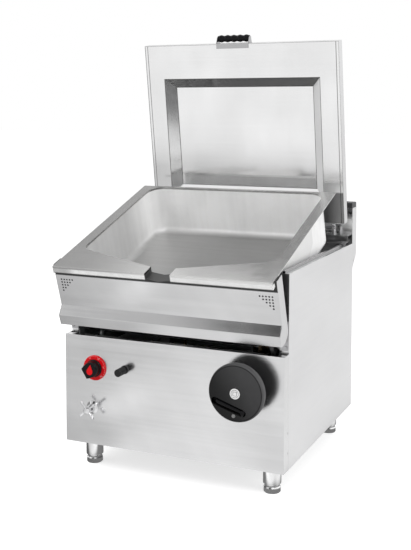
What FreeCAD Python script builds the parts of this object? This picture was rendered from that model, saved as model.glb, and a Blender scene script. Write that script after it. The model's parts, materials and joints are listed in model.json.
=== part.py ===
import FreeCAD, Part

import math
import os

from FreeCAD import Vector

# Gas tilting skillet: a square pan that tips forward about two trunnions behind its front apron,
# driven by a handwheel through a worm, a pinion and a toothed quadrant, with a lid hinged at the rear.
# Working frame: X across (centred), Y from the front panel's face towards the rear, Z up from the floor.
# The pan is built level and the lid is built closed; both are then turned to the pose they rest in.

# Overall cabinet
WIDTH = 800.0
BODY_DEPTH = 790.0
LEG_HEIGHT = 92.0
SIDE_TOP = 725.0
FRONT_TRAY_DEPTH = 44.0
SHEET = 1.5
BASE_SHEET = 2.0
FLANGE = 25.0
FACE_GAP = 0.3
HALF = WIDTH / 2.0
INNER = HALF - SHEET

# Chassis of square tube
TUBE = 30.0
TUBE_WALL = 2.0
RAIL_BASE_Z = LEG_HEIGHT + BASE_SHEET + TUBE / 2.0
RAIL_DRIVE_Z = 285.0
RAIL_TRAY_Z = 405.0
RAIL_TOP_Z = SIDE_TOP - 70.0
RAIL_HEIGHTS = (RAIL_BASE_Z, RAIL_DRIVE_Z, RAIL_TRAY_Z, RAIL_TOP_Z)

# Drip guide along each side panel's top
GUIDE_WIDTH = 10.0
GUIDE_HEIGHT = 8.5
GUIDE_EDGE = 2.5
GUIDE_FRONT = FRONT_TRAY_DEPTH + 2.0

# Legs
LEG_INSET_X = 67.0
LEG_INSET_Y = 79.0
LEG_RADIUS = 30.0
LEG_WALL = 2.5
LEG_SKIRT = 28.0
LEG_CHAMFER = 2.4
LEG_TOP_PLATE = 4.0
LEG_BOSS_RADIUS = 15.0
LEG_BOSS_FOOT = 42.0
FOOT_RADIUS = 28.0
FOOT_WAIST = 25.0
FOOT_BASE = 17.0
FOOT_SLOPE = 4.0
STEM_RADIUS = 8.0
STEM_TOP = 78.0
RUNNING_CLEARANCE = 0.05

# Rear ledge and flue
FLUE_STEP = 5.0
FLUE_FRONT = BODY_DEPTH - FLUE_STEP
FLUE_BACK = BODY_DEPTH + 50.0
FLUE_TOP = 862.0
FLUE_SLOT = 24.0
FLUE_FOOT = 676.0
FLUE_MOUTH = 629.0
FLUE_CORNER = 4.0
FLUE_LAP = 20.0
LEDGE_REACH = 98.0
LEDGE_FRONT = BODY_DEPTH - LEDGE_REACH
LEDGE_STEP = 30.0
LEDGE_RISER = LEDGE_FRONT + LEDGE_STEP
LEDGE_LOW = SIDE_TOP + 13.0
LEDGE_HIGH = LEDGE_LOW + 24.0
LEDGE_SKIRT = 40.0
CAP_HEIGHT = 20.0
CAP_OVERHANG = 2.0
CAP_WALL = 5.0
CAP_END = 8.0
CAP_ROUND = 4.0
CAP_SLOT_COUNT = 12
CAP_SLOT_SHARE = 0.7

# Pan, given level
PIVOT_Y = 14.4
PIVOT_Z = 526.0
REST_TILT = 18.3
FULL_TILT = 63.0
RIM_Z = SIDE_TOP + 15.0
RIM_FRONT = -25.0
RIM_REAR_GAP = 12.0
RIM_SIDE_GAP = 8.0
RIM_LENGTH = LEDGE_FRONT - RIM_REAR_GAP - RIM_FRONT
RIM_WIDTH = WIDTH - 2.0 * RIM_SIDE_GAP
RIM_SHEET = 3.0
FOLD_SHEET = 2.5
FOLD_HEIGHT = 24.0
RIM_EDGE_RADIUS = 3.8
GUSSET_RISE = 3.0
RIM_BORDER_SIDE = 38.0
RIM_BORDER_REAR = 10.0
CAVITY_HALF = RIM_WIDTH / 2.0 - RIM_BORDER_SIDE
CAVITY_DEPTH = 192.0
CAVITY_NOSE_FROM_FRONT = 50.0
CAVITY_SHOULDER_FROM_FRONT = 142.0
CAVITY_REAR_FROM_FRONT = RIM_LENGTH - RIM_BORDER_REAR
NOSE_HALF = 50.0
VESSEL_WALL = 3.0
CORNER_REAR = 55.0
CORNER_FRONT = 45.0
FLOOR_FILLET = 25.0
NOTCH_HALF = 45.0
NOTCH_SIDE_DEPTH = 20.0
NOTCH_MID_DEPTH = 27.0
NOTCH_SHEET = 2.5
BASE_PLATE = 12.0
BASE_PLATE_MARGIN = 3.0

# Support arms under and beside the vessel
ARM_SHEET = 6.0
ARM_NOSE = 26.0
ARM_X = CAVITY_HALF + VESSEL_WALL
ARM_TOP = RIM_Z - 40.0
ARM_TOP_FRONT = 130.0
ARM_BACK = RIM_FRONT + 0.688 * RIM_LENGTH
ARM_BEND = RIM_FRONT + 0.504 * RIM_LENGTH
ARM_BEND_RISE = 30.0
ARM_BACK_Z = RIM_Z - 100.0

# Apron, given level, as reaches in front of the cabinet face and heights
APRON_FACE = -6.0
APRON_BAND = -33.0
APRON_BAND_FOOT = -32.0
APRON_LIP_Y = -13.0
APRON_REAR = 40.0
APRON_WAIST_Z = PIVOT_Z + 57.0
APRON_BAND_TOP = PIVOT_Z + 31.5
APRON_FOOT_Z = PIVOT_Z - 5.0
APRON_LIP_Z = PIVOT_Z - 10.0
APRON_END_TOP_Z = PIVOT_Z + 12.0
APRON_END_MID_Z = PIVOT_Z - 4.0
APRON_END_MID = APRON_REAR - 15.0
APRON_END_LOW = APRON_REAR - 30.0
APRON_PANEL_CLEARANCE = 13.08
VENT_RADIUS = 3.0
VENT_PITCH = 10.5
VENT_ROWS = 5
VENT_FROM_END = 21.0
VENT_FROM_FOLD = 34.0
HOOD_MARGIN = 8.0
HOOD_DEPTH = 10.0

# Trunnions
TRUNNION_RADIUS = 12.0
BUSH_WALL = 4.0
BUSH_FLANGE = 2.5
BUSH_FLANGE_LIP = 3.0
BRACKET_PLATE = 8.0
BRACKET_FROM_SIDE = 22.0
BRACKET_X = HALF - BRACKET_FROM_SIDE
BRACKET_NOSE = 22.0
BRACKET_FOOT = 6.0
BRACKET_FOOT_HALF = 46.0
BRACKET_FOOT_LAP = 7.0
PIN_OUTREACH = 4.0
BOLT_RADIUS = 5.0
BOLT_HEAD = 5.0
BOLT_REACH = 36.0
BOLT_ASIDE = BOLT_RADIUS + 0.2

# Gears: one module throughout
MODULE = 4.0
WORM_PITCH_RADIUS = 24.0
WORM_WHEEL_TEETH = 30
PINION_TEETH = 14
QUADRANT_TEETH = 85
TOOTH_SHARE = 0.42
PRESSURE_ANGLE = 20.0
DEDENDUM = 1.25
QUADRANT_WIDTH = 12.0
QUADRANT_X = ARM_X - QUADRANT_WIDTH
QUADRANT_HUB = ARM_NOSE - 2.0
QUADRANT_RELIEF = 34.0
QUADRANT_RELIEF_AT = 98.0
QUADRANT_SLOT_ROOM = 7.0
WORM_WHEEL_WIDTH = 12.0
WORM_WHEEL_HUB = 8.0
PINION_EXTRA = 3.0
WORM_TURNS = 5
SHAFT_RADIUS = 10.0
SHAFT_BUSH_WALL = 4.0
SHAFT_END = 3.0
PANEL_BUSH_LIP = 9.0

# Handwheel and its fold-away crank
WHEEL_FROM_SIDE = 133.5
WHEEL_X = HALF - WHEEL_FROM_SIDE
WHEEL_Z = 359.0
WHEEL_RADIUS = 93.0
WHEEL_FRONT = -81.5
WHEEL_BACK = -48.0
HUB_RADIUS = 30.0
HUB_BACK = -7.0
PANEL_BUSH_FRONT = HUB_BACK + 2.0
CAP_RADIUS = 17.0
CAP_DEPTH = 2.5
CAP_PROUD = 1.2
SLOT_HALF = 12.0
SLOT_DEPTH = 22.5
SLOT_ANGLE = -18.0
CRANK_X = 24.0
CRANK_Z = -60.0
CRANK_LENGTH = 98.0
CRANK_RADIUS = 9.0
CRANK_AXIS_DEPTH = 11.0
CRANK_PIN_RADIUS = 3.0
CRANK_PIN_LAP = 4.0
KNUCKLE_GAP = 5.0
STUD_RADIUS = 6.0
STUD_DEPTH = 8.0
STUD_ALONG = 24.0

# Dial, igniter and tap on the front panel
DIAL_X = 117.0 - HALF
DIAL_Z = 360.0
DIAL_RADIUS = 43.0
DIAL_THICK = 6.0
KNOB_GAP = 0.5
KNOB_BASE_RADIUS = 30.0
KNOB_RADIUS = 27.0
KNOB_FRONT = -36.0
KNOB_BAR_HALF = 19.0
KNOB_BAR_REACH = 27.0
KNOB_BAR_ROOT_HALF = 24.0
KNOB_BAR_ROOT = 12.0
KNOB_POINTING = 213.0
KNOB_DROP_POINTING = 262.0
KNOB_DROP_AT = 5.0
KNOB_DROP_RADIUS = 11.5
KNOB_DROP_TAIL = 19.0
KNOB_DROP_DEPTH = 1.5
VALVE_STEM_RADIUS = 4.0
VALVE_STEM_END = 7.5
VALVE_FRONT = 12.0
VALVE_BACK = 82.0
VALVE_HALF = 40.0
VALVE_LEFT = 60.0
IGNITER_X = 232.0 - HALF
IGNITER_Z = 366.0
IGNITER_RADIUS = 13.0
IGNITER_FRONT = -50.0
IGNITER_TRAVEL = 6.0
IGNITER_LIP = 4.0
IGNITER_RIBS = 6
IGNITER_BARREL_END = 34.0
IGNITER_BORE_END = 24.0
IGNITER_STEM_END = 14.0
TAP_X = 107.0 - HALF
TAP_Z = 221.0
TAP_FRONT = -47.0
TAP_SPOKE_REACH = 38.0
TAP_SPOKE_RADIUS = 4.0
TAP_TURN = 40.0
TAP_STEM_RADIUS = 6.0
TAP_STEM_END = 13.5
PANEL_HOLE_GAP = 1.0

# Flush rivets, by depth and height
RIVET_RADIUS = 3.0
RIVET_LENGTH = 5.0
FRONT_RIVET_Y = FRONT_TRAY_DEPTH - 7.0
FRONT_RIVET_Z = (150.0, 215.0)
FLUE_RIVET_Y = BODY_DEPTH + 16.0
FLUE_RIVET_Z = 656.0

# Gas and water
BURNER_RADIUS = 22.0
BURNER_WALL = 1.5
BURNER_END = 2.0
BURNER_PORT_HALF = 1.5
BURNER_PORT_MARGIN = 30.0
BURNER_Z = RAIL_TRAY_Z + 57.0
BURNER_HALF = HALF - 80.0
BURNER_COUNT = 5
BURNER_FIRST_Y = 305.0
BURNER_LAST_GAP = 165.0
BURNER_PITCH = (BODY_DEPTH - BURNER_LAST_GAP - BURNER_FIRST_Y) / (BURNER_COUNT - 1)
JET_RADIUS = 4.0
MANIFOLD_X = 55.0 - HALF
MANIFOLD_RADIUS = 13.5
MANIFOLD_LAP = 25.0
TRAY_Z = RAIL_TRAY_Z + TUBE / 2.0
TRAY_MARGIN = 40.0
TRAY_RIB_X = HALF - 160.0
TRAY_RIB = 3.0
TRAY_RIB_TOP = BURNER_Z - 6.0
INLET_RADIUS = 10.48
INLET_REACH = 22.0
INLET_GAP = 0.5
GAS_INLET_X = 76.0 - HALF
GAS_INLET_Z = 180.0
GAS_RISE_Y = 47.0
GAS_FEED_Y = 150.0
GAS_FEED_UP = 15.0
WATER_INLET_Z = 140.0
WATER_RISE_Y = 32.0
WATER_VALVE_END = 56.0
WATER_VALVE_RADIUS = 18.0
WATER_FOOT_RADIUS = 11.0
WATER_FOOT_REACH = 28.0
WATER_UP_Y = LEDGE_RISER + 23.0
WATER_JET_Z = (LEDGE_LOW + LEDGE_HIGH) / 2.0
WATER_JET_PROUD = 5.5
PIPE_RADIUS = 8.0
PIPE_BEND = 26.0
WATER_SUPPLY_RADIUS = 7.0
WATER_PIPE_RADIUS = 6.0
WATER_PIPE_BEND = 16.0
REAR_SLOT_COUNT = 8
REAR_SLOT_LOW = 480.0
REAR_SLOT_PITCH = 14.0
REAR_SLOT_HEIGHT = 5.0
REAR_SLOT_HALF = 120.0

# Lid, given closed
LID_WIDTH = WIDTH - 10.0
HINGE_Y = LEDGE_RISER + 18.0
HINGE_Z = LEDGE_HIGH + 28.0
LID_REAR = HINGE_Y - 27.0
LID_FRONT = 27.0
LID_LENGTH = LID_REAR - LID_FRONT
LID_UNDERSIDE = RIM_Z + 5.5
LID_THICK = 42.0
LID_ROUND = 4.0
LID_OPEN = 81.5
HINGE_PIN_RADIUS = 7.0
HINGE_X = HALF - 103.0
HINGE_ARM = 10.0
HINGE_FOOT_HALF = 20.0
HINGE_FOOT_SHEET = 4.0
EAR_RADIUS = 12.0
EAR_WIDTH = 8.0
EAR_INNER_X = HINGE_X - 20.0
EAR_OUTER_X = HINGE_X + 38.0
EAR_BASE = 6.0
EAR_BASE_BACK = 22.0
EAR_BASE_FRONT = 14.0
SPRING_WIRE = 1.4
SPRING_TURNS = 7
SPRING_GAP = 0.2
RECESS_HALF = LID_WIDTH / 2.0 - 77.0
RECESS_REAR_MARGIN = 90.0
RECESS_FRONT_MARGIN = 132.0
RECESS_SLOPE = 36.0
RECESS_DEPTH = 32.0
HANDLE_X = -22.0
HANDLE_HALF = 66.0
HANDLE_LIP = 18.0
HANDLE_PLATE = 36.0
HANDLE_ARM_SHEET = 2.0
HANDLE_ARM_NOSE = 9.0
HANDLE_ARM_FACE = 6.0
GRIP_RADIUS = 14.0
GRIP_LOBE = 1.4
GRIP_AHEAD = 18.0
GRIP_BUMPS = 5

# Drive bracket
BEARING_PLATE = 7.5
BEARING_HALF = 28.0
WORM_BEARING_HALF = 26.0
BEARING_RIGHT = QUADRANT_X + QUADRANT_WIDTH + PINION_EXTRA + 0.5
BEARING_LEFT = WHEEL_X - 44.5
WORM_BEARING_GAP = 66.0
DRIVE_FLOOR_LAP = 2.5
DRIVE_RAIL_FRONT = 64.0
DRIVE_RAIL_BACK = 34.0

X_AXIS = Vector(1, 0, 0)
Y_AXIS = Vector(0, 1, 0)
Z_AXIS = Vector(0, 0, 1)
PIVOT = Vector(0, PIVOT_Y, PIVOT_Z)
HINGE = Vector(0, HINGE_Y, HINGE_Z)


def box(x0, x1, y0, y1, z0, z1):
    """Block between two corners."""
    return Part.makeBox(x1 - x0, y1 - y0, z1 - z0, Vector(x0, y0, z0))


def rod_x(x0, x1, y, z, radius):
    """Cylinder along X."""
    return Part.makeCylinder(radius, x1 - x0, Vector(x0, y, z), X_AXIS)


def rod_y(x, y0, y1, z, radius):
    """Cylinder along Y."""
    return Part.makeCylinder(radius, y1 - y0, Vector(x, y0, z), Y_AXIS)


def rod_z(x, y, z0, z1, radius):
    """Cylinder along Z."""
    return Part.makeCylinder(radius, z1 - z0, Vector(x, y, z0), Z_AXIS)


def face_of(points):
    """Flat face with straight edges through the given corners."""
    return Part.Face(Part.makePolygon(points + [points[0]]))


def prism_x(outline, x0, x1):
    """Outline of (y, z) corners, drawn out along X."""
    return face_of([Vector(x0, y, z) for y, z in outline]).extrude(Vector(x1 - x0, 0, 0))


def prism_y(outline, y0, y1):
    """Outline of (x, z) corners, drawn out along Y."""
    return face_of([Vector(x, y0, z) for x, z in outline]).extrude(Vector(0, y1 - y0, 0))


def prism_z(outline, z0, z1):
    """Outline of (x, y) corners, drawn out along Z."""
    return face_of([Vector(x, y, z0) for x, y in outline]).extrude(Vector(0, 0, z1 - z0))


def fuse(shapes):
    """One solid from several that meet."""
    whole = shapes[0]
    for shape in shapes[1:]:
        whole = whole.fuse(shape)
    return whole.removeSplitter()


def cut(shape, tools):
    """Shape with every tool taken away."""
    for tool in tools:
        shape = shape.cut(tool)
    return shape


def mirrored(shape):
    """Copy on the other side of the middle plane."""
    return shape.mirror(Vector(0, 0, 0), X_AXIS)


def both_sides(shape):
    """The right-hand piece and its left-hand twin as one group."""
    return Part.makeCompound([shape, mirrored(shape)])


def folded_sheet(path, thickness):
    """Outline of a bent sheet: the path, then the same path set off to its left by the thickness."""
    offset = []
    for index, point in enumerate(path):
        before = path[max(index - 1, 0)]
        after = path[min(index + 1, len(path) - 1)]
        into = unit(point, before) if index > 0 else unit(after, point)
        out = unit(after, point) if index < len(path) - 1 else into
        normal_in = (-into[1], into[0])
        normal_out = (-out[1], out[0])
        blend = 1.0 + normal_in[0] * normal_out[0] + normal_in[1] * normal_out[1]
        shift_y = (normal_in[0] + normal_out[0]) / blend
        shift_z = (normal_in[1] + normal_out[1]) / blend
        offset.append((point[0] + thickness * shift_y, point[1] + thickness * shift_z))
    return list(path) + offset[::-1]


def unit(end, start):
    """Unit direction in the plane from start to end."""
    length = math.hypot(end[0] - start[0], end[1] - start[1])
    return ((end[0] - start[0]) / length, (end[1] - start[1]) / length)


def lathe(profile, base, axis, start):
    """Solid turned about an axis: profile of (radius, height) corners, radius drawn along start."""
    points = [base + start * r + axis * h for r, h in profile]
    return face_of(points).revolve(base, axis, 360)


def edges_where(shape, test):
    """Edges of a shape whose two ends both pass the test."""
    chosen = []
    for edge in shape.Edges:
        ends = [vertex.Point for vertex in edge.Vertexes]
        if len(ends) == 2 and all(test(point) for point in ends):
            chosen.append(edge)
    return chosen


def upright_edges(shape, test):
    """Straight edges along Z that pass the test at their middle."""
    chosen = []
    for edge in shape.Edges:
        if len(edge.Vertexes) != 2:
            continue
        run = edge.Vertexes[1].Point - edge.Vertexes[0].Point
        if abs(run.z) > 1.0 and math.hypot(run.x, run.y) < 0.01 and test(edge.CenterOfMass):
            chosen.append(edge)
    return chosen


def pipe(points, radius, bend, bore=0.0):
    """Round pipe along straight runs joined by arcs of one bend radius."""
    edges = []
    start = points[0]
    for index in range(1, len(points) - 1):
        corner = points[index]
        into = (corner - points[index - 1]).normalize()
        out = (points[index + 1] - corner).normalize()
        turn = into.getAngle(out)
        reach = bend * math.tan(turn / 2.0)
        first = corner - into * reach
        last = corner + out * reach
        bisector = (out - into).normalize()
        centre = corner + bisector * (bend / math.cos(turn / 2.0))
        middle = centre - bisector * bend
        edges.append(Part.makeLine(start, first))
        edges.append(Part.Arc(first, middle, last).toShape())
        start = last
    edges.append(Part.makeLine(start, points[-1]))
    path = Part.Wire(edges)
    direction = (points[1] - points[0]).normalize()
    rings = [Part.Wire(Part.makeCircle(radius, points[0], direction))]
    solid = path.makePipeShell(rings, True, False)
    if bore > 0.0:
        core = path.makePipeShell([Part.Wire(Part.makeCircle(bore, points[0], direction))], True, False)
        return solid.cut(core)
    return solid


def tilted(shape):
    """Level pan piece turned about the trunnions to the tilt it rests at."""
    copy = shape.copy()
    copy.rotate(PIVOT, X_AXIS, REST_TILT)
    return copy


def opened(shape):
    """Closed lid piece turned about its hinge to the open angle it rests at."""
    copy = shape.copy()
    copy.rotate(HINGE, X_AXIS, -LID_OPEN)
    return copy


# Values that several pieces share
APRON_REACH = math.hypot(PIVOT_Y - APRON_BAND_FOOT, PIVOT_Z - APRON_FOOT_Z)
FRONT_TOP = PIVOT_Z - math.sqrt((APRON_REACH + APRON_PANEL_CLEARANCE) ** 2 - PIVOT_Y ** 2)
RAIL_BOTTOM = LEG_HEIGHT + BASE_SHEET
POST_IN = INNER - TUBE
POST_FRONT = FRONT_TRAY_DEPTH + SHEET
POST_BACK = BODY_DEPTH - SHEET - TUBE
TOP_FLANGE_IN = HALF - FLANGE

WORM_WHEEL_RADIUS = MODULE * WORM_WHEEL_TEETH / 2.0
PINION_RADIUS = MODULE * PINION_TEETH / 2.0
QUADRANT_RADIUS = MODULE * QUADRANT_TEETH / 2.0
CROSS_Z = WHEEL_Z + WORM_PITCH_RADIUS + WORM_WHEEL_RADIUS
GEAR_DISTANCE = QUADRANT_RADIUS + PINION_RADIUS
CROSS_Y = PIVOT_Y + math.sqrt(GEAR_DISTANCE ** 2 - (PIVOT_Z - CROSS_Z) ** 2)
MESH_ANGLE = math.degrees(math.atan2(CROSS_Z - PIVOT_Z, CROSS_Y - PIVOT_Y))
WORM_LEAD = math.pi * MODULE
DRIVE_FLOOR = RAIL_DRIVE_Z + TUBE / 2.0


def corner_positions():
    """Middle of each leg, front pair first."""
    front = LEG_INSET_Y
    back = BODY_DEPTH - LEG_INSET_Y
    x = HALF - LEG_INSET_X
    fronts = [("front_left", -x, front), ("front_right", x, front)]
    return fronts + [("rear_left", -x, back), ("rear_right", x, back)]


def leg_socket(x, y):
    """Leg tube under the base sheet, with the blind bore that the foot's stem runs in."""
    skin = rod_z(x, y, LEG_SKIRT, LEG_HEIGHT, LEG_RADIUS)
    skin = skin.makeChamfer(LEG_CHAMFER, edges_where_round(skin, LEG_SKIRT))
    room = rod_z(x, y, LEG_SKIRT - 1.0, LEG_HEIGHT - LEG_TOP_PLATE, LEG_RADIUS - LEG_WALL)
    boss = rod_z(x, y, LEG_BOSS_FOOT, LEG_HEIGHT - LEG_TOP_PLATE / 2.0, LEG_BOSS_RADIUS)
    bore_top = LEG_HEIGHT - LEG_TOP_PLATE / 2.0
    bore = rod_z(x, y, LEG_BOSS_FOOT - 1.0, bore_top, STEM_RADIUS + RUNNING_CLEARANCE)
    return skin.cut(room).fuse(boss).cut(bore)


def edges_where_round(shape, height):
    """Circular edges lying at one height."""
    rings = [edge for edge in shape.Edges if len(edge.Vertexes) == 1]
    flat = [edge for edge in rings if edge.BoundBox.ZLength < 0.01]
    return [edge for edge in flat if abs(edge.BoundBox.ZMin - height) < 0.01]


def foot(x, y):
    """Levelling foot: pad, flared base, waist and stem, turned in one piece."""
    profile = [
        (0.0, 0.0),
        (FOOT_WAIST, 0.0),
        (FOOT_RADIUS, FOOT_RADIUS - FOOT_WAIST),
        (FOOT_RADIUS, FOOT_BASE),
        (FOOT_WAIST, FOOT_BASE + FOOT_SLOPE),
        (FOOT_WAIST, LEG_SKIRT + 2.0),
        (STEM_RADIUS, LEG_SKIRT + 2.0),
        (STEM_RADIUS, STEM_TOP),
        (0.0, STEM_TOP),
    ]
    return lathe(profile, Vector(x, y, 0), Z_AXIS, X_AXIS)


def side_panel():
    """Right-hand side panel with its four return flanges."""
    skin = box(INNER, HALF, FRONT_TRAY_DEPTH, BODY_DEPTH, LEG_HEIGHT, SIDE_TOP)
    front = box(TOP_FLANGE_IN, HALF, FRONT_TRAY_DEPTH, FRONT_TRAY_DEPTH + SHEET, LEG_HEIGHT, SIDE_TOP)
    top = box(TOP_FLANGE_IN, HALF, FRONT_TRAY_DEPTH, BODY_DEPTH, SIDE_TOP - SHEET, SIDE_TOP)
    bottom = box(HALF - FLANGE, HALF, FRONT_TRAY_DEPTH, BODY_DEPTH, LEG_HEIGHT, LEG_HEIGHT + SHEET)
    return fuse([skin, front, top, bottom])


def guide_strip():
    """Hollow raised strip on the top flange, just inside the panel, that sheds drips under the rim."""
    inner = TOP_FLANGE_IN + 1.0
    outer = inner + GUIDE_WIDTH
    back = LEDGE_FRONT - GUIDE_WIDTH
    top = SIDE_TOP + GUIDE_HEIGHT
    bar = box(inner, outer, GUIDE_FRONT, back, SIDE_TOP, top)
    bar = bar.makeFillet(GUIDE_EDGE, edges_where(bar, lambda p: abs(p.z - top) < 0.01))
    room = box(inner + SHEET, outer - SHEET, GUIDE_FRONT + SHEET, back - SHEET, SIDE_TOP, top - SHEET)
    return bar.cut(room)


def front_panel():
    """Front tray: face, side returns, top and bottom returns, control holes and gear slots."""
    face = box(-HALF, HALF, 0.0, SHEET, LEG_HEIGHT, FRONT_TOP)
    back = FRONT_TRAY_DEPTH - FACE_GAP
    right = box(INNER, HALF, 0.0, back, LEG_HEIGHT, FRONT_TOP)
    top = box(-HALF, HALF, 0.0, FLANGE, FRONT_TOP - SHEET, FRONT_TOP)
    bottom = box(-HALF, HALF, 0.0, back, LEG_HEIGHT, LEG_HEIGHT + SHEET)
    tray = fuse([face, right, mirrored(right), top, bottom])
    slot_in = QUADRANT_X - QUADRANT_SLOT_ROOM
    slot_out = ARM_X + ARM_SHEET + QUADRANT_SLOT_ROOM
    slot = box(slot_in, slot_out, SHEET, FLANGE + 1.0, FRONT_TOP - 2 * SHEET, FRONT_TOP + 1.0)
    holes = [
        rod_y(WHEEL_X, -1.0, SHEET + 1.0, WHEEL_Z, SHAFT_RADIUS + SHAFT_BUSH_WALL),
        rod_y(DIAL_X, -1.0, SHEET + 1.0, DIAL_Z, VALVE_STEM_RADIUS + PANEL_HOLE_GAP),
        rod_y(IGNITER_X, -1.0, SHEET + 1.0, IGNITER_Z, IGNITER_RADIUS - 2.0),
        rod_y(TAP_X, -1.0, SHEET + 1.0, TAP_Z, TAP_STEM_RADIUS + PANEL_HOLE_GAP),
    ]
    for x, y, z in rivet_places():
        if y < FRONT_TRAY_DEPTH:
            holes.append(rod_x(x - 5.0, x + 5.0, y, z, RIVET_RADIUS))
    return cut(tray, [slot, mirrored(slot)] + holes)


def rivet_places():
    """Outer face middle of each flush rivet, on both sides of the cabinet."""
    places = []
    for side in (-1.0, 1.0):
        for z in FRONT_RIVET_Z:
            places.append((side * HALF, FRONT_RIVET_Y, z))
        places.append((side * HALF, FLUE_RIVET_Y, FLUE_RIVET_Z))
    return places


def rivets():
    """Flush rivets in the side returns of the front tray and in the flue cheeks."""
    heads = []
    for x, y, z in rivet_places():
        inside = x - math.copysign(RIVET_LENGTH, x)
        heads.append(rod_x(min(x, inside), max(x, inside), y, z, RIVET_RADIUS))
    return Part.makeCompound(heads)


def rear_panel():
    """Rear closing sheet with holes for the two supply pipes and a row of slots."""
    sheet = box(-INNER, INNER, BODY_DEPTH - SHEET, BODY_DEPTH, RAIL_BOTTOM, FLUE_MOUTH)
    holes = []
    for x, z in ((GAS_INLET_X, GAS_INLET_Z), (TAP_X, WATER_INLET_Z)):
        holes.append(rod_y(x, BODY_DEPTH - 5.0, BODY_DEPTH + 5.0, z, PIPE_RADIUS + PANEL_HOLE_GAP))
    for index in range(REAR_SLOT_COUNT):
        low = REAR_SLOT_LOW + REAR_SLOT_PITCH * index
        top = low + REAR_SLOT_HEIGHT
        holes.append(box(-REAR_SLOT_HALF, REAR_SLOT_HALF, BODY_DEPTH - 5.0, BODY_DEPTH + 5.0, low, top))
    return cut(sheet, holes)


def base_sheet():
    """Sheet under the chassis."""
    inner = HALF - FLANGE - FACE_GAP
    back = BODY_DEPTH - SHEET - FACE_GAP
    return box(-inner, inner, FRONT_TRAY_DEPTH, back, LEG_HEIGHT, LEG_HEIGHT + BASE_SHEET)


def square_tube_z(x, y, z0, z1):
    """Upright square tube from its low X, low Y corner."""
    outer = box(x, x + TUBE, y, y + TUBE, z0, z1)
    wall = TUBE_WALL
    return outer.cut(box(x + wall, x + TUBE - wall, y + wall, y + TUBE - wall, z0, z1))


def tube_x(x0, x1, y, height):
    """Square tube along X from its front face, centred on a height."""
    outer = box(x0, x1, y, y + TUBE, height - TUBE / 2.0, height + TUBE / 2.0)
    half = TUBE / 2.0 - TUBE_WALL
    return outer.cut(box(x0, x1, y + TUBE_WALL, y + TUBE - TUBE_WALL, height - half, height + half))


def tube_y(x, y0, y1, height):
    """Square tube along Y from its left face, centred on a height."""
    outer = box(x, x + TUBE, y0, y1, height - TUBE / 2.0, height + TUBE / 2.0)
    half = TUBE / 2.0 - TUBE_WALL
    return outer.cut(box(x + TUBE_WALL, x + TUBE - TUBE_WALL, y0, y1, height - half, height + half))


def side_frames():
    """Welded side frames: a front and a rear post with the rails between them."""
    frame = [square_tube_z(POST_IN, y, RAIL_BOTTOM, SIDE_TOP - SHEET) for y in (POST_FRONT, POST_BACK)]
    for height in RAIL_HEIGHTS:
        frame.append(tube_y(POST_IN, POST_FRONT + TUBE, POST_BACK, height))
    return both_sides(fuse(frame))


def cross_rails():
    """Rails from side to side: under the legs' line, at the rear and under the drive."""
    places = [
        (POST_FRONT, RAIL_BASE_Z),
        (POST_BACK, RAIL_BASE_Z),
        (POST_BACK, RAIL_DRIVE_Z),
        (POST_BACK, RAIL_TOP_Z),
        (CROSS_Y - DRIVE_RAIL_FRONT, RAIL_DRIVE_Z),
        (CROSS_Y + DRIVE_RAIL_BACK, RAIL_DRIVE_Z),
    ]
    rails = []
    for y, height in places:
        rails.append(tube_x(-POST_IN, POST_IN, y, height))
    return Part.makeCompound(rails)


def vessel_plan(offset):
    """Corners of the vessel's plan, set out by an offset: nose, shoulders and rear."""
    nose = RIM_FRONT + CAVITY_NOSE_FROM_FRONT
    shoulder = RIM_FRONT + CAVITY_SHOULDER_FROM_FRONT
    rear = RIM_FRONT + CAVITY_REAR_FROM_FRONT + offset
    half = CAVITY_HALF + offset
    slope = (shoulder - nose) / (CAVITY_HALF - NOSE_HALF)
    front = nose - offset
    lift = offset * math.sqrt(1.0 + slope ** 2)
    nose_half = NOSE_HALF + (front - nose + lift) / slope
    shoulder_y = shoulder + slope * offset - lift
    right = [(nose_half, front), (half, shoulder_y), (half, rear)]
    return right + [(-x, y) for x, y in reversed(right)]


def rounded_vessel(offset, bottom, top):
    """Vessel-shaped solid with round corners and a round edge at its floor."""
    body = prism_z(vessel_plan(offset), bottom, top)
    rear = RIM_FRONT + CAVITY_REAR_FROM_FRONT + offset
    middle = RIM_FRONT + CAVITY_REAR_FROM_FRONT / 2.0
    body = body.makeFillet(CORNER_REAR + offset, upright_edges(body, lambda p: p.y > rear - 1.0))
    body = body.makeFillet(CORNER_FRONT + offset, upright_edges(body, lambda p: is_shoulder(p, middle)))
    floor = [edge for edge in body.Edges if abs(edge.BoundBox.ZMax - bottom) < 0.01]
    return body.makeFillet(FLOOR_FILLET + offset, floor)


def is_shoulder(point, middle):
    """True at the two corners where the sides meet the slanted front walls."""
    return abs(point.x) > CAVITY_HALF - 1.0 and point.y < middle


def notch_outline(sheet):
    """Section of the pouring notch as (x, z) corners, grown downwards and sideways by a sheet."""
    half = NOTCH_HALF + sheet
    top = RIM_Z + 1.0 if sheet == 0.0 else RIM_Z - RIM_SHEET
    side = RIM_Z - NOTCH_SIDE_DEPTH - sheet
    middle = RIM_Z - NOTCH_MID_DEPTH - sheet
    return [(-half, top), (-half, side), (0.0, middle), (half, side), (half, top)]


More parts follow.
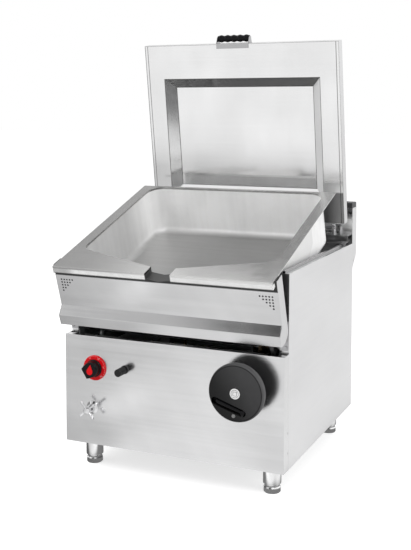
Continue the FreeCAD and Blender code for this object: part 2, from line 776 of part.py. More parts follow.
def pan_vessel():
    """Welded pan: vessel, flat rim, folded front edge with end gussets, and the pouring notch."""
    floor = RIM_Z - CAVITY_DEPTH
    rim_half = RIM_WIDTH / 2.0
    rim_back = RIM_FRONT + RIM_LENGTH
    outer = rounded_vessel(VESSEL_WALL, floor - VESSEL_WALL, RIM_Z)
    cavity = rounded_vessel(0.0, floor, RIM_Z + 1.0)
    rim = box(-rim_half, rim_half, RIM_FRONT, rim_back, RIM_Z - RIM_SHEET, RIM_Z)
    fold = box(-rim_half, rim_half, RIM_FRONT, RIM_FRONT + FOLD_SHEET, RIM_Z - FOLD_HEIGHT, RIM_Z)
    gusset_back = APRON_FACE - FACE_GAP
    gusset_outline = [
        (RIM_FRONT, RIM_Z - 1.0),
        (RIM_FRONT, RIM_Z - FOLD_HEIGHT),
        (RIM_FRONT + FOLD_SHEET, RIM_Z - FOLD_HEIGHT),
        (gusset_back, RIM_Z - FOLD_HEIGHT + GUSSET_RISE),
        (gusset_back, RIM_Z - 1.0),
    ]
    gusset = prism_x(gusset_outline, rim_half - FOLD_SHEET, rim_half)
    nose_y = RIM_FRONT + CAVITY_NOSE_FROM_FRONT
    trough = prism_y(notch_outline(NOTCH_SHEET), RIM_FRONT, nose_y)
    channel = prism_y(notch_outline(0.0), RIM_FRONT - 1.0, nose_y + 1.0)
    solid = fuse([outer, rim, fold, gusset, mirrored(gusset), trough])
    solid = cut(solid, [cavity, channel])
    front_edges = edges_where(solid, lambda p: abs(p.y - RIM_FRONT) < 0.01 and abs(p.z - RIM_Z) < 0.01)
    return solid.makeFillet(RIM_EDGE_RADIUS, front_edges)


def pan_base_plate():
    """Thick heating plate under the flat part of the vessel's floor."""
    side = CAVITY_HALF - FLOOR_FILLET - BASE_PLATE_MARGIN
    front = RIM_FRONT + CAVITY_SHOULDER_FROM_FRONT + FLOOR_FILLET + BASE_PLATE_MARGIN
    back = RIM_FRONT + CAVITY_REAR_FROM_FRONT - FLOOR_FILLET - BASE_PLATE_MARGIN
    top = RIM_Z - CAVITY_DEPTH - VESSEL_WALL
    plate = box(-side, side, front, back, top - BASE_PLATE, top)
    return plate.makeFillet(CORNER_FRONT, upright_edges(plate, lambda p: True))


def apron_sheet():
    """Front apron: flat panel, sloping return, lower band and lip, with the two vent triangles."""
    path = [
        (APRON_LIP_Y, APRON_LIP_Z),
        (APRON_BAND_FOOT, APRON_FOOT_Z),
        (APRON_BAND, APRON_BAND_TOP),
        (APRON_FACE, APRON_WAIST_Z),
        (APRON_FACE, RIM_Z - RIM_SHEET),
    ]
    sheet = prism_x(folded_sheet(path, -SHEET), -INNER, INNER)
    holes = []
    top = RIM_Z - FOLD_HEIGHT - VENT_FROM_FOLD
    end = HALF - VENT_FROM_END
    hood = vent_hood(end, top)
    sheet = fuse([sheet, hood, mirrored(hood)])
    for row in range(VENT_ROWS):
        for column in range(VENT_ROWS - row):
            x = end - column * VENT_PITCH
            z = top - row * VENT_PITCH
            hole = rod_y(x, APRON_FACE - 5.0, APRON_FACE + 5.0, z, VENT_RADIUS)
            holes.append(hole)
            holes.append(mirrored(hole))
    trough = notch_outline(NOTCH_SHEET + FACE_GAP)
    holes.append(prism_y(trough, APRON_FACE - 5.0, APRON_FACE + 5.0))
    return sheet.cut(Part.makeCompound(holes))


def vent_hood(end, top):
    """Hood behind the right-hand vents, open at its foot, that keeps drips and light out."""
    reach = (VENT_ROWS - 1) * VENT_PITCH + HOOD_MARGIN
    x0 = end - reach
    x1 = end + HOOD_MARGIN
    z0 = top - reach
    z1 = top + HOOD_MARGIN
    front = APRON_FACE + SHEET / 2.0
    back = APRON_FACE + SHEET + HOOD_DEPTH
    parts = [
        box(x0, x1, back - SHEET, back, z0, z1),
        box(x0, x1, front, back, z1 - SHEET, z1),
        box(x0, x0 + SHEET, front, back, z0, z1),
        box(x1 - SHEET, x1, front, back, z0, z1),
    ]
    return fuse(parts)


def apron_end():
    """Right-hand end plate of the apron, following its front outline."""
    outline = [
        (APRON_LIP_Y, APRON_LIP_Z),
        (APRON_BAND_FOOT, APRON_FOOT_Z),
        (APRON_BAND, APRON_BAND_TOP),
        (APRON_FACE, APRON_WAIST_Z),
        (APRON_FACE, RIM_Z - RIM_SHEET),
        (APRON_REAR, RIM_Z - RIM_SHEET),
        (APRON_REAR, APRON_END_TOP_Z),
        (APRON_END_MID, APRON_END_MID_Z),
        (APRON_END_LOW, APRON_LIP_Z),
    ]
    return prism_x(outline, INNER, HALF)


def pan_arm():
    """Right-hand support arm on the vessel's side, with the trunnion pin welded through its nose."""
    lean = math.atan2(ARM_TOP - PIVOT_Z, ARM_TOP_FRONT - PIVOT_Y) + math.acos(
        ARM_NOSE / math.hypot(ARM_TOP - PIVOT_Z, ARM_TOP_FRONT - PIVOT_Y))
    outline = [
        (PIVOT_Y, PIVOT_Z - ARM_NOSE),
        (ARM_BEND, PIVOT_Z + ARM_BEND_RISE),
        (ARM_BACK, ARM_BACK_Z),
        (ARM_BACK, ARM_TOP),
        (ARM_TOP_FRONT, ARM_TOP),
        (PIVOT_Y + ARM_NOSE * math.cos(lean), PIVOT_Z + ARM_NOSE * math.sin(lean)),
    ]
    plate = prism_x(outline, ARM_X, ARM_X + ARM_SHEET)
    nose = rod_x(ARM_X, ARM_X + ARM_SHEET, PIVOT_Y, PIVOT_Z, ARM_NOSE)
    pin_end = BRACKET_X + BRACKET_PLATE + PIN_OUTREACH
    pin = rod_x(QUADRANT_X, pin_end, PIVOT_Y, PIVOT_Z, TRUNNION_RADIUS)
    return fuse([plate, nose, pin])


def trunnion_bracket():
    """Right-hand bracket: plate with the bush bore, and a foot bolted to the front post."""
    x1 = BRACKET_X + BRACKET_PLATE
    foot_x0 = BRACKET_X - BRACKET_FOOT_LAP
    foot_x1 = INNER - SHEET
    bar = box(BRACKET_X, x1, PIVOT_Y, FRONT_TRAY_DEPTH, PIVOT_Z - BRACKET_NOSE, PIVOT_Z + BRACKET_NOSE)
    nose = rod_x(BRACKET_X, x1, PIVOT_Y, PIVOT_Z, BRACKET_NOSE)
    base = box(foot_x0, foot_x1, FRONT_TRAY_DEPTH - BRACKET_FOOT, FRONT_TRAY_DEPTH,
               PIVOT_Z - BRACKET_FOOT_HALF, PIVOT_Z + BRACKET_FOOT_HALF)
    bore = rod_x(BRACKET_X - 1.0, x1 + 1.0, PIVOT_Y, PIVOT_Z, TRUNNION_RADIUS + BUSH_WALL)
    return fuse([bar, nose, base]).cut(bore)


def bracket_bolts():
    """Hexagon heads that hold each bracket foot to its post."""
    bolts = []
    for side in (-1.0, 1.0):
        x = side * (BRACKET_X + BRACKET_PLATE + BOLT_ASIDE)
        seat = FRONT_TRAY_DEPTH - BRACKET_FOOT
        for z in (PIVOT_Z - BOLT_REACH, PIVOT_Z + BOLT_REACH):
            corners = []
            for step in range(6):
                turn = math.radians(60.0 * step)
                corners.append((x + BOLT_RADIUS * math.cos(turn), z + BOLT_RADIUS * math.sin(turn)))
            bolts.append(prism_y(corners, seat - BOLT_HEAD, seat))
    return Part.makeCompound(bolts)


def trunnion_bush():
    """Right-hand flanged bush in the bracket."""
    x1 = BRACKET_X + BRACKET_PLATE
    sleeve = rod_x(BRACKET_X, x1, PIVOT_Y, PIVOT_Z, TRUNNION_RADIUS + BUSH_WALL)
    lip = TRUNNION_RADIUS + BUSH_WALL + BUSH_FLANGE_LIP
    flange = rod_x(BRACKET_X - BUSH_FLANGE, BRACKET_X, PIVOT_Y, PIVOT_Z, lip)
    bore = rod_x(BRACKET_X - 5.0, x1 + 1.0, PIVOT_Y, PIVOT_Z, TRUNNION_RADIUS + RUNNING_CLEARANCE)
    return fuse([sleeve, flange]).cut(bore)


def involute(angle):
    """Involute function of an angle in radians."""
    return math.tan(angle) - angle


def tooth_points(teeth, addendum, dedendum):
    """One tooth as (radius, half angle) pairs from root to tip, with involute flanks."""
    pitch = MODULE * teeth / 2.0
    base = pitch * math.cos(math.radians(PRESSURE_ANGLE))
    root = pitch - dedendum * MODULE
    tip = pitch + addendum * MODULE
    half_at_pitch = TOOTH_SHARE * math.pi / teeth
    start = max(base, root)
    pairs = []
    for share in (0.0, 0.35, 0.7, 1.0):
        radius = start + (tip - start) * share
        pressure = math.acos(min(1.0, base / radius))
        half = half_at_pitch + involute(math.radians(PRESSURE_ANGLE)) - involute(pressure)
        pairs.append((radius, half))
    if root < base:
        pairs.insert(0, (root, pairs[0][1]))
    return pairs


def gear_outline(teeth, phase, addendum, first=0, count=None):
    """Corners (y, z) of a run of teeth about the origin; phase is the angle of tooth number 0."""
    pairs = tooth_points(teeth, addendum, DEDENDUM)
    pitch_angle = 2.0 * math.pi / teeth
    points = []
    for index in range(first, first + (teeth if count is None else count)):
        middle = math.radians(phase) + index * pitch_angle
        points += [polar(radius, middle - half) for radius, half in pairs]
        points += [polar(radius, middle + half) for radius, half in reversed(pairs)]
    return points


def polar(radius, angle):
    """Point at a radius and an angle in radians."""
    return (radius * math.cos(angle), radius * math.sin(angle))


def moved_outline(points, y, z):
    """Outline shifted to a centre."""
    return [(point[0] + y, point[1] + z) for point in points]


def quadrant_gear():
    """Toothed quadrant about the trunnion, with a hub on the pin, given level."""
    pitch_angle = 360.0 / QUADRANT_TEETH
    gap_at_rest = MESH_ANGLE - REST_TILT
    first = -int(math.ceil((FULL_TILT - REST_TILT) / pitch_angle)) - 1
    last = int(math.ceil(REST_TILT / pitch_angle)) + 1
    phase = gap_at_rest + pitch_angle / 2.0
    teeth = gear_outline(QUADRANT_TEETH, phase, 1.0, first, last - first)
    low = math.radians(phase + (first - 0.5) * pitch_angle)
    high = math.radians(phase + (last - 0.5) * pitch_angle)
    root = QUADRANT_RADIUS - DEDENDUM * MODULE
    corners = [polar(QUADRANT_HUB, high + 0.9), polar(QUADRANT_HUB, low - 0.2), polar(root, low)]
    outline = moved_outline(corners + teeth + [polar(root, high)], PIVOT_Y, PIVOT_Z)
    x0 = QUADRANT_X
    x1 = QUADRANT_X + QUADRANT_WIDTH
    disc = rod_x(x0, x1, PIVOT_Y, PIVOT_Z, QUADRANT_HUB)
    bore = rod_x(x0 - 1.0, x1 + 1.0, PIVOT_Y, PIVOT_Z, TRUNNION_RADIUS)
    middle = polar(QUADRANT_RELIEF_AT, math.radians(gap_at_rest - FULL_TILT / 2.0 + REST_TILT))
    relief = rod_x(x0 - 1.0, x1 + 1.0, PIVOT_Y + middle[0], PIVOT_Z + middle[1], QUADRANT_RELIEF)
    return cut(fuse([prism_x(outline, x0, x1), disc]), [bore, relief])


def pinion():
    """Pinion on the cross shaft, with a tooth towards the quadrant at rest."""
    outline = moved_outline(gear_outline(PINION_TEETH, MESH_ANGLE + 180.0, 1.0), CROSS_Y, CROSS_Z)
    x0 = QUADRANT_X - PINION_EXTRA
    x1 = QUADRANT_X + QUADRANT_WIDTH + PINION_EXTRA
    gear = prism_x(outline, x0, x1)
    return gear.cut(rod_x(x0 - 1.0, x1 + 1.0, CROSS_Y, CROSS_Z, SHAFT_RADIUS))


def worm_wheel():
    """Worm wheel on the cross shaft, with a gap straight down at rest."""
    phase = -90.0 + 180.0 / WORM_WHEEL_TEETH
    outline = moved_outline(gear_outline(WORM_WHEEL_TEETH, phase, 1.0), CROSS_Y, CROSS_Z)
    x0 = WHEEL_X - WORM_WHEEL_WIDTH / 2.0
    x1 = WHEEL_X + WORM_WHEEL_WIDTH / 2.0
    gear = prism_x(outline, x0, x1)
    hub = rod_x(x0 - WORM_WHEEL_HUB, x1 + WORM_WHEEL_HUB, CROSS_Y, CROSS_Z, SHAFT_RADIUS + WORM_WHEEL_HUB)
    bore = rod_x(x0 - 2.0 * WORM_WHEEL_HUB, x1 + 2.0 * WORM_WHEEL_HUB, CROSS_Y, CROSS_Z, SHAFT_RADIUS)
    return fuse([gear, hub]).cut(bore)


def cross_shaft():
    """Shaft that carries the worm wheel and the pinion between the two bearing plates."""
    right = BEARING_RIGHT + BEARING_PLATE
    return rod_x(BEARING_LEFT - SHAFT_END, right, CROSS_Y, CROSS_Z, SHAFT_RADIUS)


def worm_shaft():
    """Shaft from the handwheel through the panel to its rear bearing, with the worm cut on it."""
    end = CROSS_Y + WORM_BEARING_GAP + BEARING_PLATE + SHAFT_END
    shaft = rod_y(WHEEL_X, WHEEL_FRONT + CAP_DEPTH, end, WHEEL_Z, SHAFT_RADIUS)
    return shaft.fuse(worm())


def worm():
    """Worm with one right-hand thread, its middle under the worm wheel."""
    root = WORM_PITCH_RADIUS - DEDENDUM * MODULE
    tip = WORM_PITCH_RADIUS + MODULE
    embed = root - 1.0
    slope = math.tan(math.radians(PRESSURE_ANGLE))
    half_pitch = TOOTH_SHARE * WORM_LEAD / 2.0
    low_half = half_pitch + (WORM_PITCH_RADIUS - embed) * slope
    tip_half = half_pitch - (tip - WORM_PITCH_RADIUS) * slope
    helix = Part.makeHelix(WORM_LEAD, WORM_LEAD * WORM_TURNS, WORM_PITCH_RADIUS)
    corners = [(embed, -low_half), (tip, -tip_half), (tip, tip_half), (embed, low_half), (embed, -low_half)]
    section = Part.makePolygon([Vector(radius, 0, height) for radius, height in corners])
    thread = Part.Wire(helix).makePipeShell([section], True, True)
    core = Part.makeCylinder(root, WORM_LEAD * (WORM_TURNS + 1.6), Vector(0, 0, -0.8 * WORM_LEAD), Z_AXIS)
    solid = core.fuse(thread)
    solid.rotate(Vector(0, 0, 0), X_AXIS, -90)
    start = CROSS_Y - (WORM_TURNS // 2 + 0.75) * WORM_LEAD
    solid.translate(Vector(WHEEL_X, start, WHEEL_Z))
    return solid


def drive_bracket():
    """Bracket on the two drive rails: floor plate, two cross-shaft cheeks and two worm-shaft cheeks."""
    reach = WORM_BEARING_GAP + BEARING_PLATE + DRIVE_FLOOR_LAP
    right = BEARING_RIGHT + BEARING_PLATE
    top = DRIVE_FLOOR + BEARING_PLATE
    parts = [box(BEARING_LEFT, right, CROSS_Y - reach, CROSS_Y + reach, DRIVE_FLOOR, top)]
    bores = []
    bush = SHAFT_RADIUS + SHAFT_BUSH_WALL
    for x in (BEARING_LEFT, BEARING_RIGHT):
        end = x + BEARING_PLATE
        parts.append(box(x, end, CROSS_Y - BEARING_HALF, CROSS_Y + BEARING_HALF, DRIVE_FLOOR, CROSS_Z))
        parts.append(rod_x(x, end, CROSS_Y, CROSS_Z, BEARING_HALF))
        bores.append(rod_x(x - 1.0, end + 1.0, CROSS_Y, CROSS_Z, bush))
    left = WHEEL_X - WORM_BEARING_HALF
    for y in (CROSS_Y - WORM_BEARING_GAP - BEARING_PLATE, CROSS_Y + WORM_BEARING_GAP):
        end = y + BEARING_PLATE
        parts.append(box(left, left + 2.0 * WORM_BEARING_HALF, y, end, DRIVE_FLOOR, WHEEL_Z))
        parts.append(rod_y(WHEEL_X, y, end, WHEEL_Z, WORM_BEARING_HALF))
        bores.append(rod_y(WHEEL_X, y - 1.0, end + 1.0, WHEEL_Z, bush))
    return cut(fuse(parts), bores)


def shaft_bushes():
    """Plain bushes in the drive bracket, two for each shaft, and the flanged one in the front panel."""
    outer = SHAFT_RADIUS + SHAFT_BUSH_WALL
    inner = SHAFT_RADIUS + RUNNING_CLEARANCE
    bushes = []
    for x in (BEARING_LEFT, BEARING_RIGHT):
        ring = rod_x(x, x + BEARING_PLATE, CROSS_Y, CROSS_Z, outer)
        bushes.append(ring.cut(rod_x(x, x + BEARING_PLATE, CROSS_Y, CROSS_Z, inner)))
    for y in (CROSS_Y - WORM_BEARING_GAP - BEARING_PLATE, CROSS_Y + WORM_BEARING_GAP):
        ring = rod_y(WHEEL_X, y, y + BEARING_PLATE, WHEEL_Z, outer)
        bushes.append(ring.cut(rod_y(WHEEL_X, y, y + BEARING_PLATE, WHEEL_Z, inner)))
    sleeve = rod_y(WHEEL_X, PANEL_BUSH_FRONT, BEARING_PLATE, WHEEL_Z, outer)
    flange = rod_y(WHEEL_X, PANEL_BUSH_FRONT, 0.0, WHEEL_Z, outer + PANEL_BUSH_LIP)
    bushes.append(fuse([sleeve, flange]).cut(rod_y(WHEEL_X, HUB_BACK, 2.0 * BEARING_PLATE, WHEEL_Z, inner)))
    return Part.makeCompound(bushes)


def crank_direction():
    """Unit direction in (x, z) from the crank's pivot along the folded grip."""
    turn = math.radians(180.0 + SLOT_ANGLE)
    return math.cos(turn), math.sin(turn)


def crank_axis():
    """Unit direction of the crank's pivot pin, square to the folded grip."""
    along_x, along_z = crank_direction()
    return Vector(along_z, 0, -along_x)


def crank_pivot():
    """Middle of the crank's pivot pin."""
    return Vector(WHEEL_X + CRANK_X, WHEEL_FRONT + CRANK_AXIS_DEPTH, WHEEL_Z + CRANK_Z)


def handwheel():
    """Dished wheel with its hub, the slot that the crank folds into, and the pin bores."""
    rim_middle = (WHEEL_FRONT + WHEEL_BACK) / 2.0
    profile = [
        (SHAFT_RADIUS, HUB_BACK),
        (HUB_RADIUS, HUB_BACK),
        (HUB_RADIUS + 3.0, WHEEL_BACK - 2.0),
        (HUB_RADIUS + 26.0, WHEEL_BACK),
        (WHEEL_RADIUS - 6.0, WHEEL_BACK),
        (WHEEL_RADIUS - 1.8, WHEEL_BACK - 3.0),
        (WHEEL_RADIUS, WHEEL_BACK - 9.0),
        (WHEEL_RADIUS, rim_middle - 4.0),
        (WHEEL_RADIUS - 1.5, WHEEL_FRONT + 7.0),
        (WHEEL_RADIUS - 5.0, WHEEL_FRONT + 3.2),
        (WHEEL_RADIUS - 11.0, WHEEL_FRONT + 1.8),
        (WHEEL_RADIUS / 2.0, WHEEL_FRONT + 0.5),
        (CAP_RADIUS, WHEEL_FRONT),
        (CAP_RADIUS, WHEEL_FRONT + CAP_DEPTH),
        (SHAFT_RADIUS, WHEEL_FRONT + CAP_DEPTH),
    ]
    body = lathe(profile, Vector(WHEEL_X, 0, WHEEL_Z), Y_AXIS, X_AXIS)
    along_x, along_z = crank_direction()
    pivot = crank_pivot()
    far = Vector(pivot.x + along_x * CRANK_LENGTH, pivot.y, pivot.z + along_z * CRANK_LENGTH)
    back = WHEEL_FRONT + SLOT_DEPTH
    side = Vector(along_z, 0, -along_x) * SLOT_HALF
    corners = [pivot + side, far + side, far - side, pivot - side]
    slot = prism_y([(point.x, point.z) for point in corners], WHEEL_FRONT - 1.0, back)
    ends = [rod_y(point.x, WHEEL_FRONT - 1.0, back, point.z, SLOT_HALF) for point in (pivot, far)]
    pin = crank_pin_rod()
    stud = rod_y(stud_place().x, WHEEL_FRONT - 1.0, WHEEL_FRONT + STUD_DEPTH, stud_place().z, STUD_RADIUS)
    return cut(body, [slot] + ends + [pin, stud])


def crank_pin_rod():
    """Pin across the slot that the crank turns on."""
    axis = crank_axis()
    half = SLOT_HALF + CRANK_PIN_LAP
    return Part.makeCylinder(CRANK_PIN_RADIUS, 2.0 * half, crank_pivot() - axis * half, axis)


def stud_place():
    """Middle of the grey stud below the slot."""
    along_x, along_z = crank_direction()
    pivot = crank_pivot()
    aside = SLOT_HALF + STUD_RADIUS + 1.5
    x = pivot.x + along_x * STUD_ALONG - crank_axis().x * aside
    z = pivot.z + along_z * STUD_ALONG - crank_axis().z * aside
    return Vector(x, 0, z)


def crank_stud():
    """Grey stud set in the wheel's face."""
    place = stud_place()
    front = WHEEL_FRONT - 0.4
    stud = rod_y(place.x, front, WHEEL_FRONT + STUD_DEPTH, place.z, STUD_RADIUS)
    return stud.makeFillet(0.8, [edge for edge in stud.Edges if abs(edge.BoundBox.YMax - front) < 0.01])


def crank_grip():
    """Tapered grip with a round knuckle bored for the pin, folded into the slot."""
    along_x, along_z = crank_direction()
    along = Vector(along_x, 0, along_z)
    pivot = crank_pivot()
    profile = [
        (0.0, 0.0),
        (CRANK_RADIUS - 2.0, 0.0),
        (CRANK_RADIUS - 2.0, 12.0),
        (CRANK_RADIUS - 1.2, 22.0),
        (CRANK_RADIUS, CRANK_LENGTH - 20.0),
        (CRANK_RADIUS - 0.6, CRANK_LENGTH - 8.0),
        (CRANK_RADIUS - 3.0, CRANK_LENGTH - 2.0),
        (0.0, CRANK_LENGTH),
    ]
    grip = lathe(profile, pivot, along, crank_axis())
    axis = crank_axis()
    half = SLOT_HALF - KNUCKLE_GAP
    knuckle = Part.makeCylinder(CRANK_RADIUS, 2.0 * half, pivot - axis * half, axis)
    bore_radius = CRANK_PIN_RADIUS + RUNNING_CLEARANCE
    bore = Part.makeCylinder(bore_radius, 4.0 * SLOT_HALF, pivot - axis * (2.0 * SLOT_HALF), axis)
    return fuse([grip, knuckle]).cut(bore)


def hub_cap():
    """Silver cap in the middle of the wheel, with a shallow ring."""
    front = WHEEL_FRONT - CAP_PROUD
    disc = rod_y(WHEEL_X, front, WHEEL_FRONT + CAP_DEPTH, WHEEL_Z, CAP_RADIUS)
    disc = disc.makeFillet(1.0, [edge for edge in disc.Edges if abs(edge.BoundBox.YMax - front) < 0.01])
    ring = rod_y(WHEEL_X, front - 1.0, front + 0.8, WHEEL_Z, 11.0).cut(
        rod_y(WHEEL_X, front - 1.0, front + 0.8, WHEEL_Z, 8.5))
    return disc.cut(ring)


def dial_ring():
    """Red dial disc behind the knob, with the hole for the valve stem."""
    disc = rod_y(DIAL_X, -DIAL_THICK, 0.0, DIAL_Z, DIAL_RADIUS)
    disc = disc.makeFillet(2.5, [edge for edge in disc.Edges if abs(edge.BoundBox.YMax + DIAL_THICK) < 0.01])
    return disc.cut(rod_y(DIAL_X, -DIAL_THICK - 1.0, 1.0, DIAL_Z, VALVE_STEM_RADIUS + PANEL_HOLE_GAP))


def knob_direction(turn):
    """Unit direction in (x, z) at an angle in the panel's plane."""
    return math.cos(math.radians(turn)), math.sin(math.radians(turn))


def knob():
    """Pointer knob: round skirt, body, a wedge with a flat end, and the stem that turns in the valve."""
    skirt_back = -DIAL_THICK - KNOB_GAP
    profile = [
        (0.0, skirt_back),
        (KNOB_BASE_RADIUS, skirt_back),
        (KNOB_BASE_RADIUS, skirt_back - 3.0),
        (KNOB_RADIUS, skirt_back - 6.0),
        (KNOB_RADIUS - 1.0, KNOB_FRONT + 2.5),
        (KNOB_RADIUS - 3.0, KNOB_FRONT),
        (0.0, KNOB_FRONT),
    ]
    body = lathe(profile, Vector(DIAL_X, 0, DIAL_Z), Y_AXIS, X_AXIS)
    along_x, along_z = knob_direction(KNOB_POINTING)
    corners = []
    for out, aside in (
        (0.0, KNOB_BAR_HALF),
        (KNOB_BAR_ROOT, KNOB_BAR_ROOT_HALF),
        (KNOB_BAR_REACH, KNOB_BAR_HALF),
        (KNOB_BAR_REACH, -KNOB_BAR_HALF),
        (KNOB_BAR_ROOT, -KNOB_BAR_ROOT_HALF),
        (0.0, -KNOB_BAR_HALF),
    ):
        corners.append((DIAL_X + along_x * out - along_z * aside, DIAL_Z + along_z * out + along_x * aside))
    wedge = prism_y(corners, KNOB_FRONT, skirt_back - 5.0)
    stem = rod_y(DIAL_X, skirt_back - 1.0, VALVE_STEM_END, DIAL_Z, VALVE_STEM_RADIUS)
    return fuse([body, wedge, stem]).cut(knob_insert(0.0))


def knob_insert(proud):
    """Red drop on the knob's face: a round end below the middle and a tail above it."""
    along_x, along_z = knob_direction(KNOB_DROP_POINTING)
    cx = DIAL_X + along_x * KNOB_DROP_AT
    cz = DIAL_Z + along_z * KNOB_DROP_AT
    radius = KNOB_DROP_RADIUS
    y0 = KNOB_FRONT - proud
    y1 = KNOB_FRONT + KNOB_DROP_DEPTH
    head = rod_y(cx, y0, y1, cz, radius)
    tail_x = DIAL_X - along_x * KNOB_DROP_TAIL
    tail_z = DIAL_Z - along_z * KNOB_DROP_TAIL
    lean = math.acos(radius / (KNOB_DROP_AT + KNOB_DROP_TAIL))
    corners = [(tail_x, tail_z)]
    for sign in (-1.0, 1.0):
        turn = math.radians(KNOB_DROP_POINTING + 180.0) + sign * lean
        corners.append((cx + radius * math.cos(turn), cz + radius * math.sin(turn)))
    tail = prism_y(corners, y0, y1)
    return fuse([head, tail])


def gas_valve():
    """Thermostatic gas valve behind the panel, bored for the knob's stem."""
    low = DIAL_Z - VALVE_HALF
    body = box(DIAL_X - VALVE_LEFT, DIAL_X + VALVE_HALF, VALVE_FRONT, VALVE_BACK, low, DIAL_Z + VALVE_HALF)
    body = body.makeFillet(4.0, body.Edges)
    boss = rod_y(DIAL_X, SHEET, VALVE_FRONT + 2.0, DIAL_Z, 15.0)
    bore = rod_y(DIAL_X, 0.0, VALVE_STEM_END + 1.0, DIAL_Z, VALVE_STEM_RADIUS + RUNNING_CLEARANCE)
    return fuse([body, boss]).cut(bore)


def igniter_barrel():
    """Fixed barrel of the igniter through the panel, with its nut and flange."""
    flange = rod_y(IGNITER_X, -IGNITER_LIP, 0.0, IGNITER_Z, IGNITER_RADIUS + 1.5)
    sleeve = rod_y(IGNITER_X, 0.0, IGNITER_BARREL_END, IGNITER_Z, IGNITER_RADIUS - 2.0)
    nut = rod_y(IGNITER_X, SHEET, IGNITER_LIP + SHEET, IGNITER_Z, IGNITER_RADIUS + 3.0)
    bore = rod_y(IGNITER_X, -2.0 * IGNITER_LIP, IGNITER_BORE_END, IGNITER_Z, IGNITER_RADIUS - 6.0)
    return fuse([flange, sleeve, nut]).cut(bore)


def igniter_button():
    """Long ribbed push button of the igniter."""
    back = -IGNITER_LIP - IGNITER_TRAVEL - 0.5
    plain = 6.0
    pitch = (back - IGNITER_FRONT - plain) / IGNITER_RIBS
    profile = [(0.0, IGNITER_FRONT), (IGNITER_RADIUS - 2.0, IGNITER_FRONT)]
    profile.append((IGNITER_RADIUS, IGNITER_FRONT + 2.0))
    for index in range(IGNITER_RIBS):
        at = IGNITER_FRONT + plain + index * pitch
        profile.append((IGNITER_RADIUS, at))
        profile.append((IGNITER_RADIUS - 1.2, at + pitch * 0.25))
        profile.append((IGNITER_RADIUS - 1.2, at + pitch * 0.5))
        profile.append((IGNITER_RADIUS, at + pitch * 0.75))
    stem = IGNITER_RADIUS - 6.0 - RUNNING_CLEARANCE
    profile += [(IGNITER_RADIUS, back), (stem, back), (stem, IGNITER_STEM_END), (0.0, IGNITER_STEM_END)]
    return lathe(profile, Vector(IGNITER_X, 0, IGNITER_Z), Y_AXIS, X_AXIS)


def tap_escutcheon():
    """Domed collar around the tap's stem."""
    bore = TAP_STEM_RADIUS + PANEL_HOLE_GAP
    profile = [
        (bore, 0.0),
        (23.0, 0.0),
        (22.0, -4.0),
        (14.0, -10.0),
        (12.0, -20.0),
        (bore, -20.0),
    ]
    return lathe(profile, Vector(TAP_X, 0, TAP_Z), Y_AXIS, X_AXIS)


def tap_handle():
    """Cross handle with four round spokes, its hub and the stem into the valve."""
    middle = TAP_FRONT + 9.0
    hub_profile = [
        (0.0, TAP_FRONT),
        (8.0, TAP_FRONT),
        (11.5, TAP_FRONT + 3.0),
        (11.5, TAP_FRONT + 15.0),
        (9.0, TAP_FRONT + 22.0),
        (TAP_STEM_RADIUS, TAP_FRONT + 22.0),
        (TAP_STEM_RADIUS, TAP_STEM_END),
        (0.0, TAP_STEM_END),
    ]
    parts = [lathe(hub_profile, Vector(TAP_X, 0, TAP_Z), Y_AXIS, X_AXIS)]
    for step in range(4):
        turn = math.radians(TAP_TURN + 90.0 * step)
        out = Vector(math.cos(turn), 0, math.sin(turn))
        base = Vector(TAP_X, middle, TAP_Z)
        arm = [
            (0.0, 4.0),
            (TAP_SPOKE_RADIUS - 0.6, 4.0),
            (TAP_SPOKE_RADIUS - 0.6, 16.0),
            (TAP_SPOKE_RADIUS + 1.0, TAP_SPOKE_REACH - 6.0),
            (TAP_SPOKE_RADIUS + 0.4, TAP_SPOKE_REACH - 1.5),
            (TAP_SPOKE_RADIUS - 1.5, TAP_SPOKE_REACH),
            (0.0, TAP_SPOKE_REACH),
        ]
        parts.append(lathe(arm, base, out, Y_AXIS))
    return fuse(parts)


def water_valve():
    """Water valve behind the panel, bored for the tap's stem."""
    body = rod_y(TAP_X, SHEET, WATER_VALVE_END, TAP_Z, WATER_VALVE_RADIUS)
    foot_stub = rod_z(TAP_X, WATER_RISE_Y, TAP_Z - WATER_FOOT_REACH, TAP_Z, WATER_FOOT_RADIUS)
    bore = rod_y(TAP_X, 0.0, TAP_STEM_END + 1.0, TAP_Z, TAP_STEM_RADIUS + RUNNING_CLEARANCE)
    return fuse([body, foot_stub]).cut(bore)


def gas_supply_pipe():
    """Supply pipe from the threaded inlet at the rear to the underside of the gas valve."""
    start = BODY_DEPTH + INLET_GAP
    points = [
        Vector(GAS_INLET_X, start + 1.0, GAS_INLET_Z),
        Vector(GAS_INLET_X, GAS_RISE_Y, GAS_INLET_Z),
        Vector(GAS_INLET_X, GAS_RISE_Y, DIAL_Z - VALVE_HALF),
    ]
    inlet = rod_y(GAS_INLET_X, start, start + INLET_REACH, GAS_INLET_Z, INLET_RADIUS)
    return fuse([pipe(points, PIPE_RADIUS, PIPE_BEND), inlet])


def gas_feed_pipe():
    """Feed pipe from the back of the gas valve to the front end of the manifold."""
    height = DIAL_Z + GAS_FEED_UP
    points = [
        Vector(DIAL_X, VALVE_BACK, height),
        Vector(DIAL_X, GAS_FEED_Y, height),
        Vector(MANIFOLD_X, GAS_FEED_Y, height),
        Vector(MANIFOLD_X, GAS_FEED_Y, BURNER_Z),
        Vector(MANIFOLD_X, manifold_start(), BURNER_Z),
    ]
    return pipe(points, PIPE_RADIUS, PIPE_BEND)


def manifold_start():
    """Front end of the manifold."""
    return BURNER_FIRST_Y - MANIFOLD_LAP


def burner_places():
    """Depth of each burner tube's middle."""
    return [BURNER_FIRST_Y + index * BURNER_PITCH for index in range(BURNER_COUNT)]


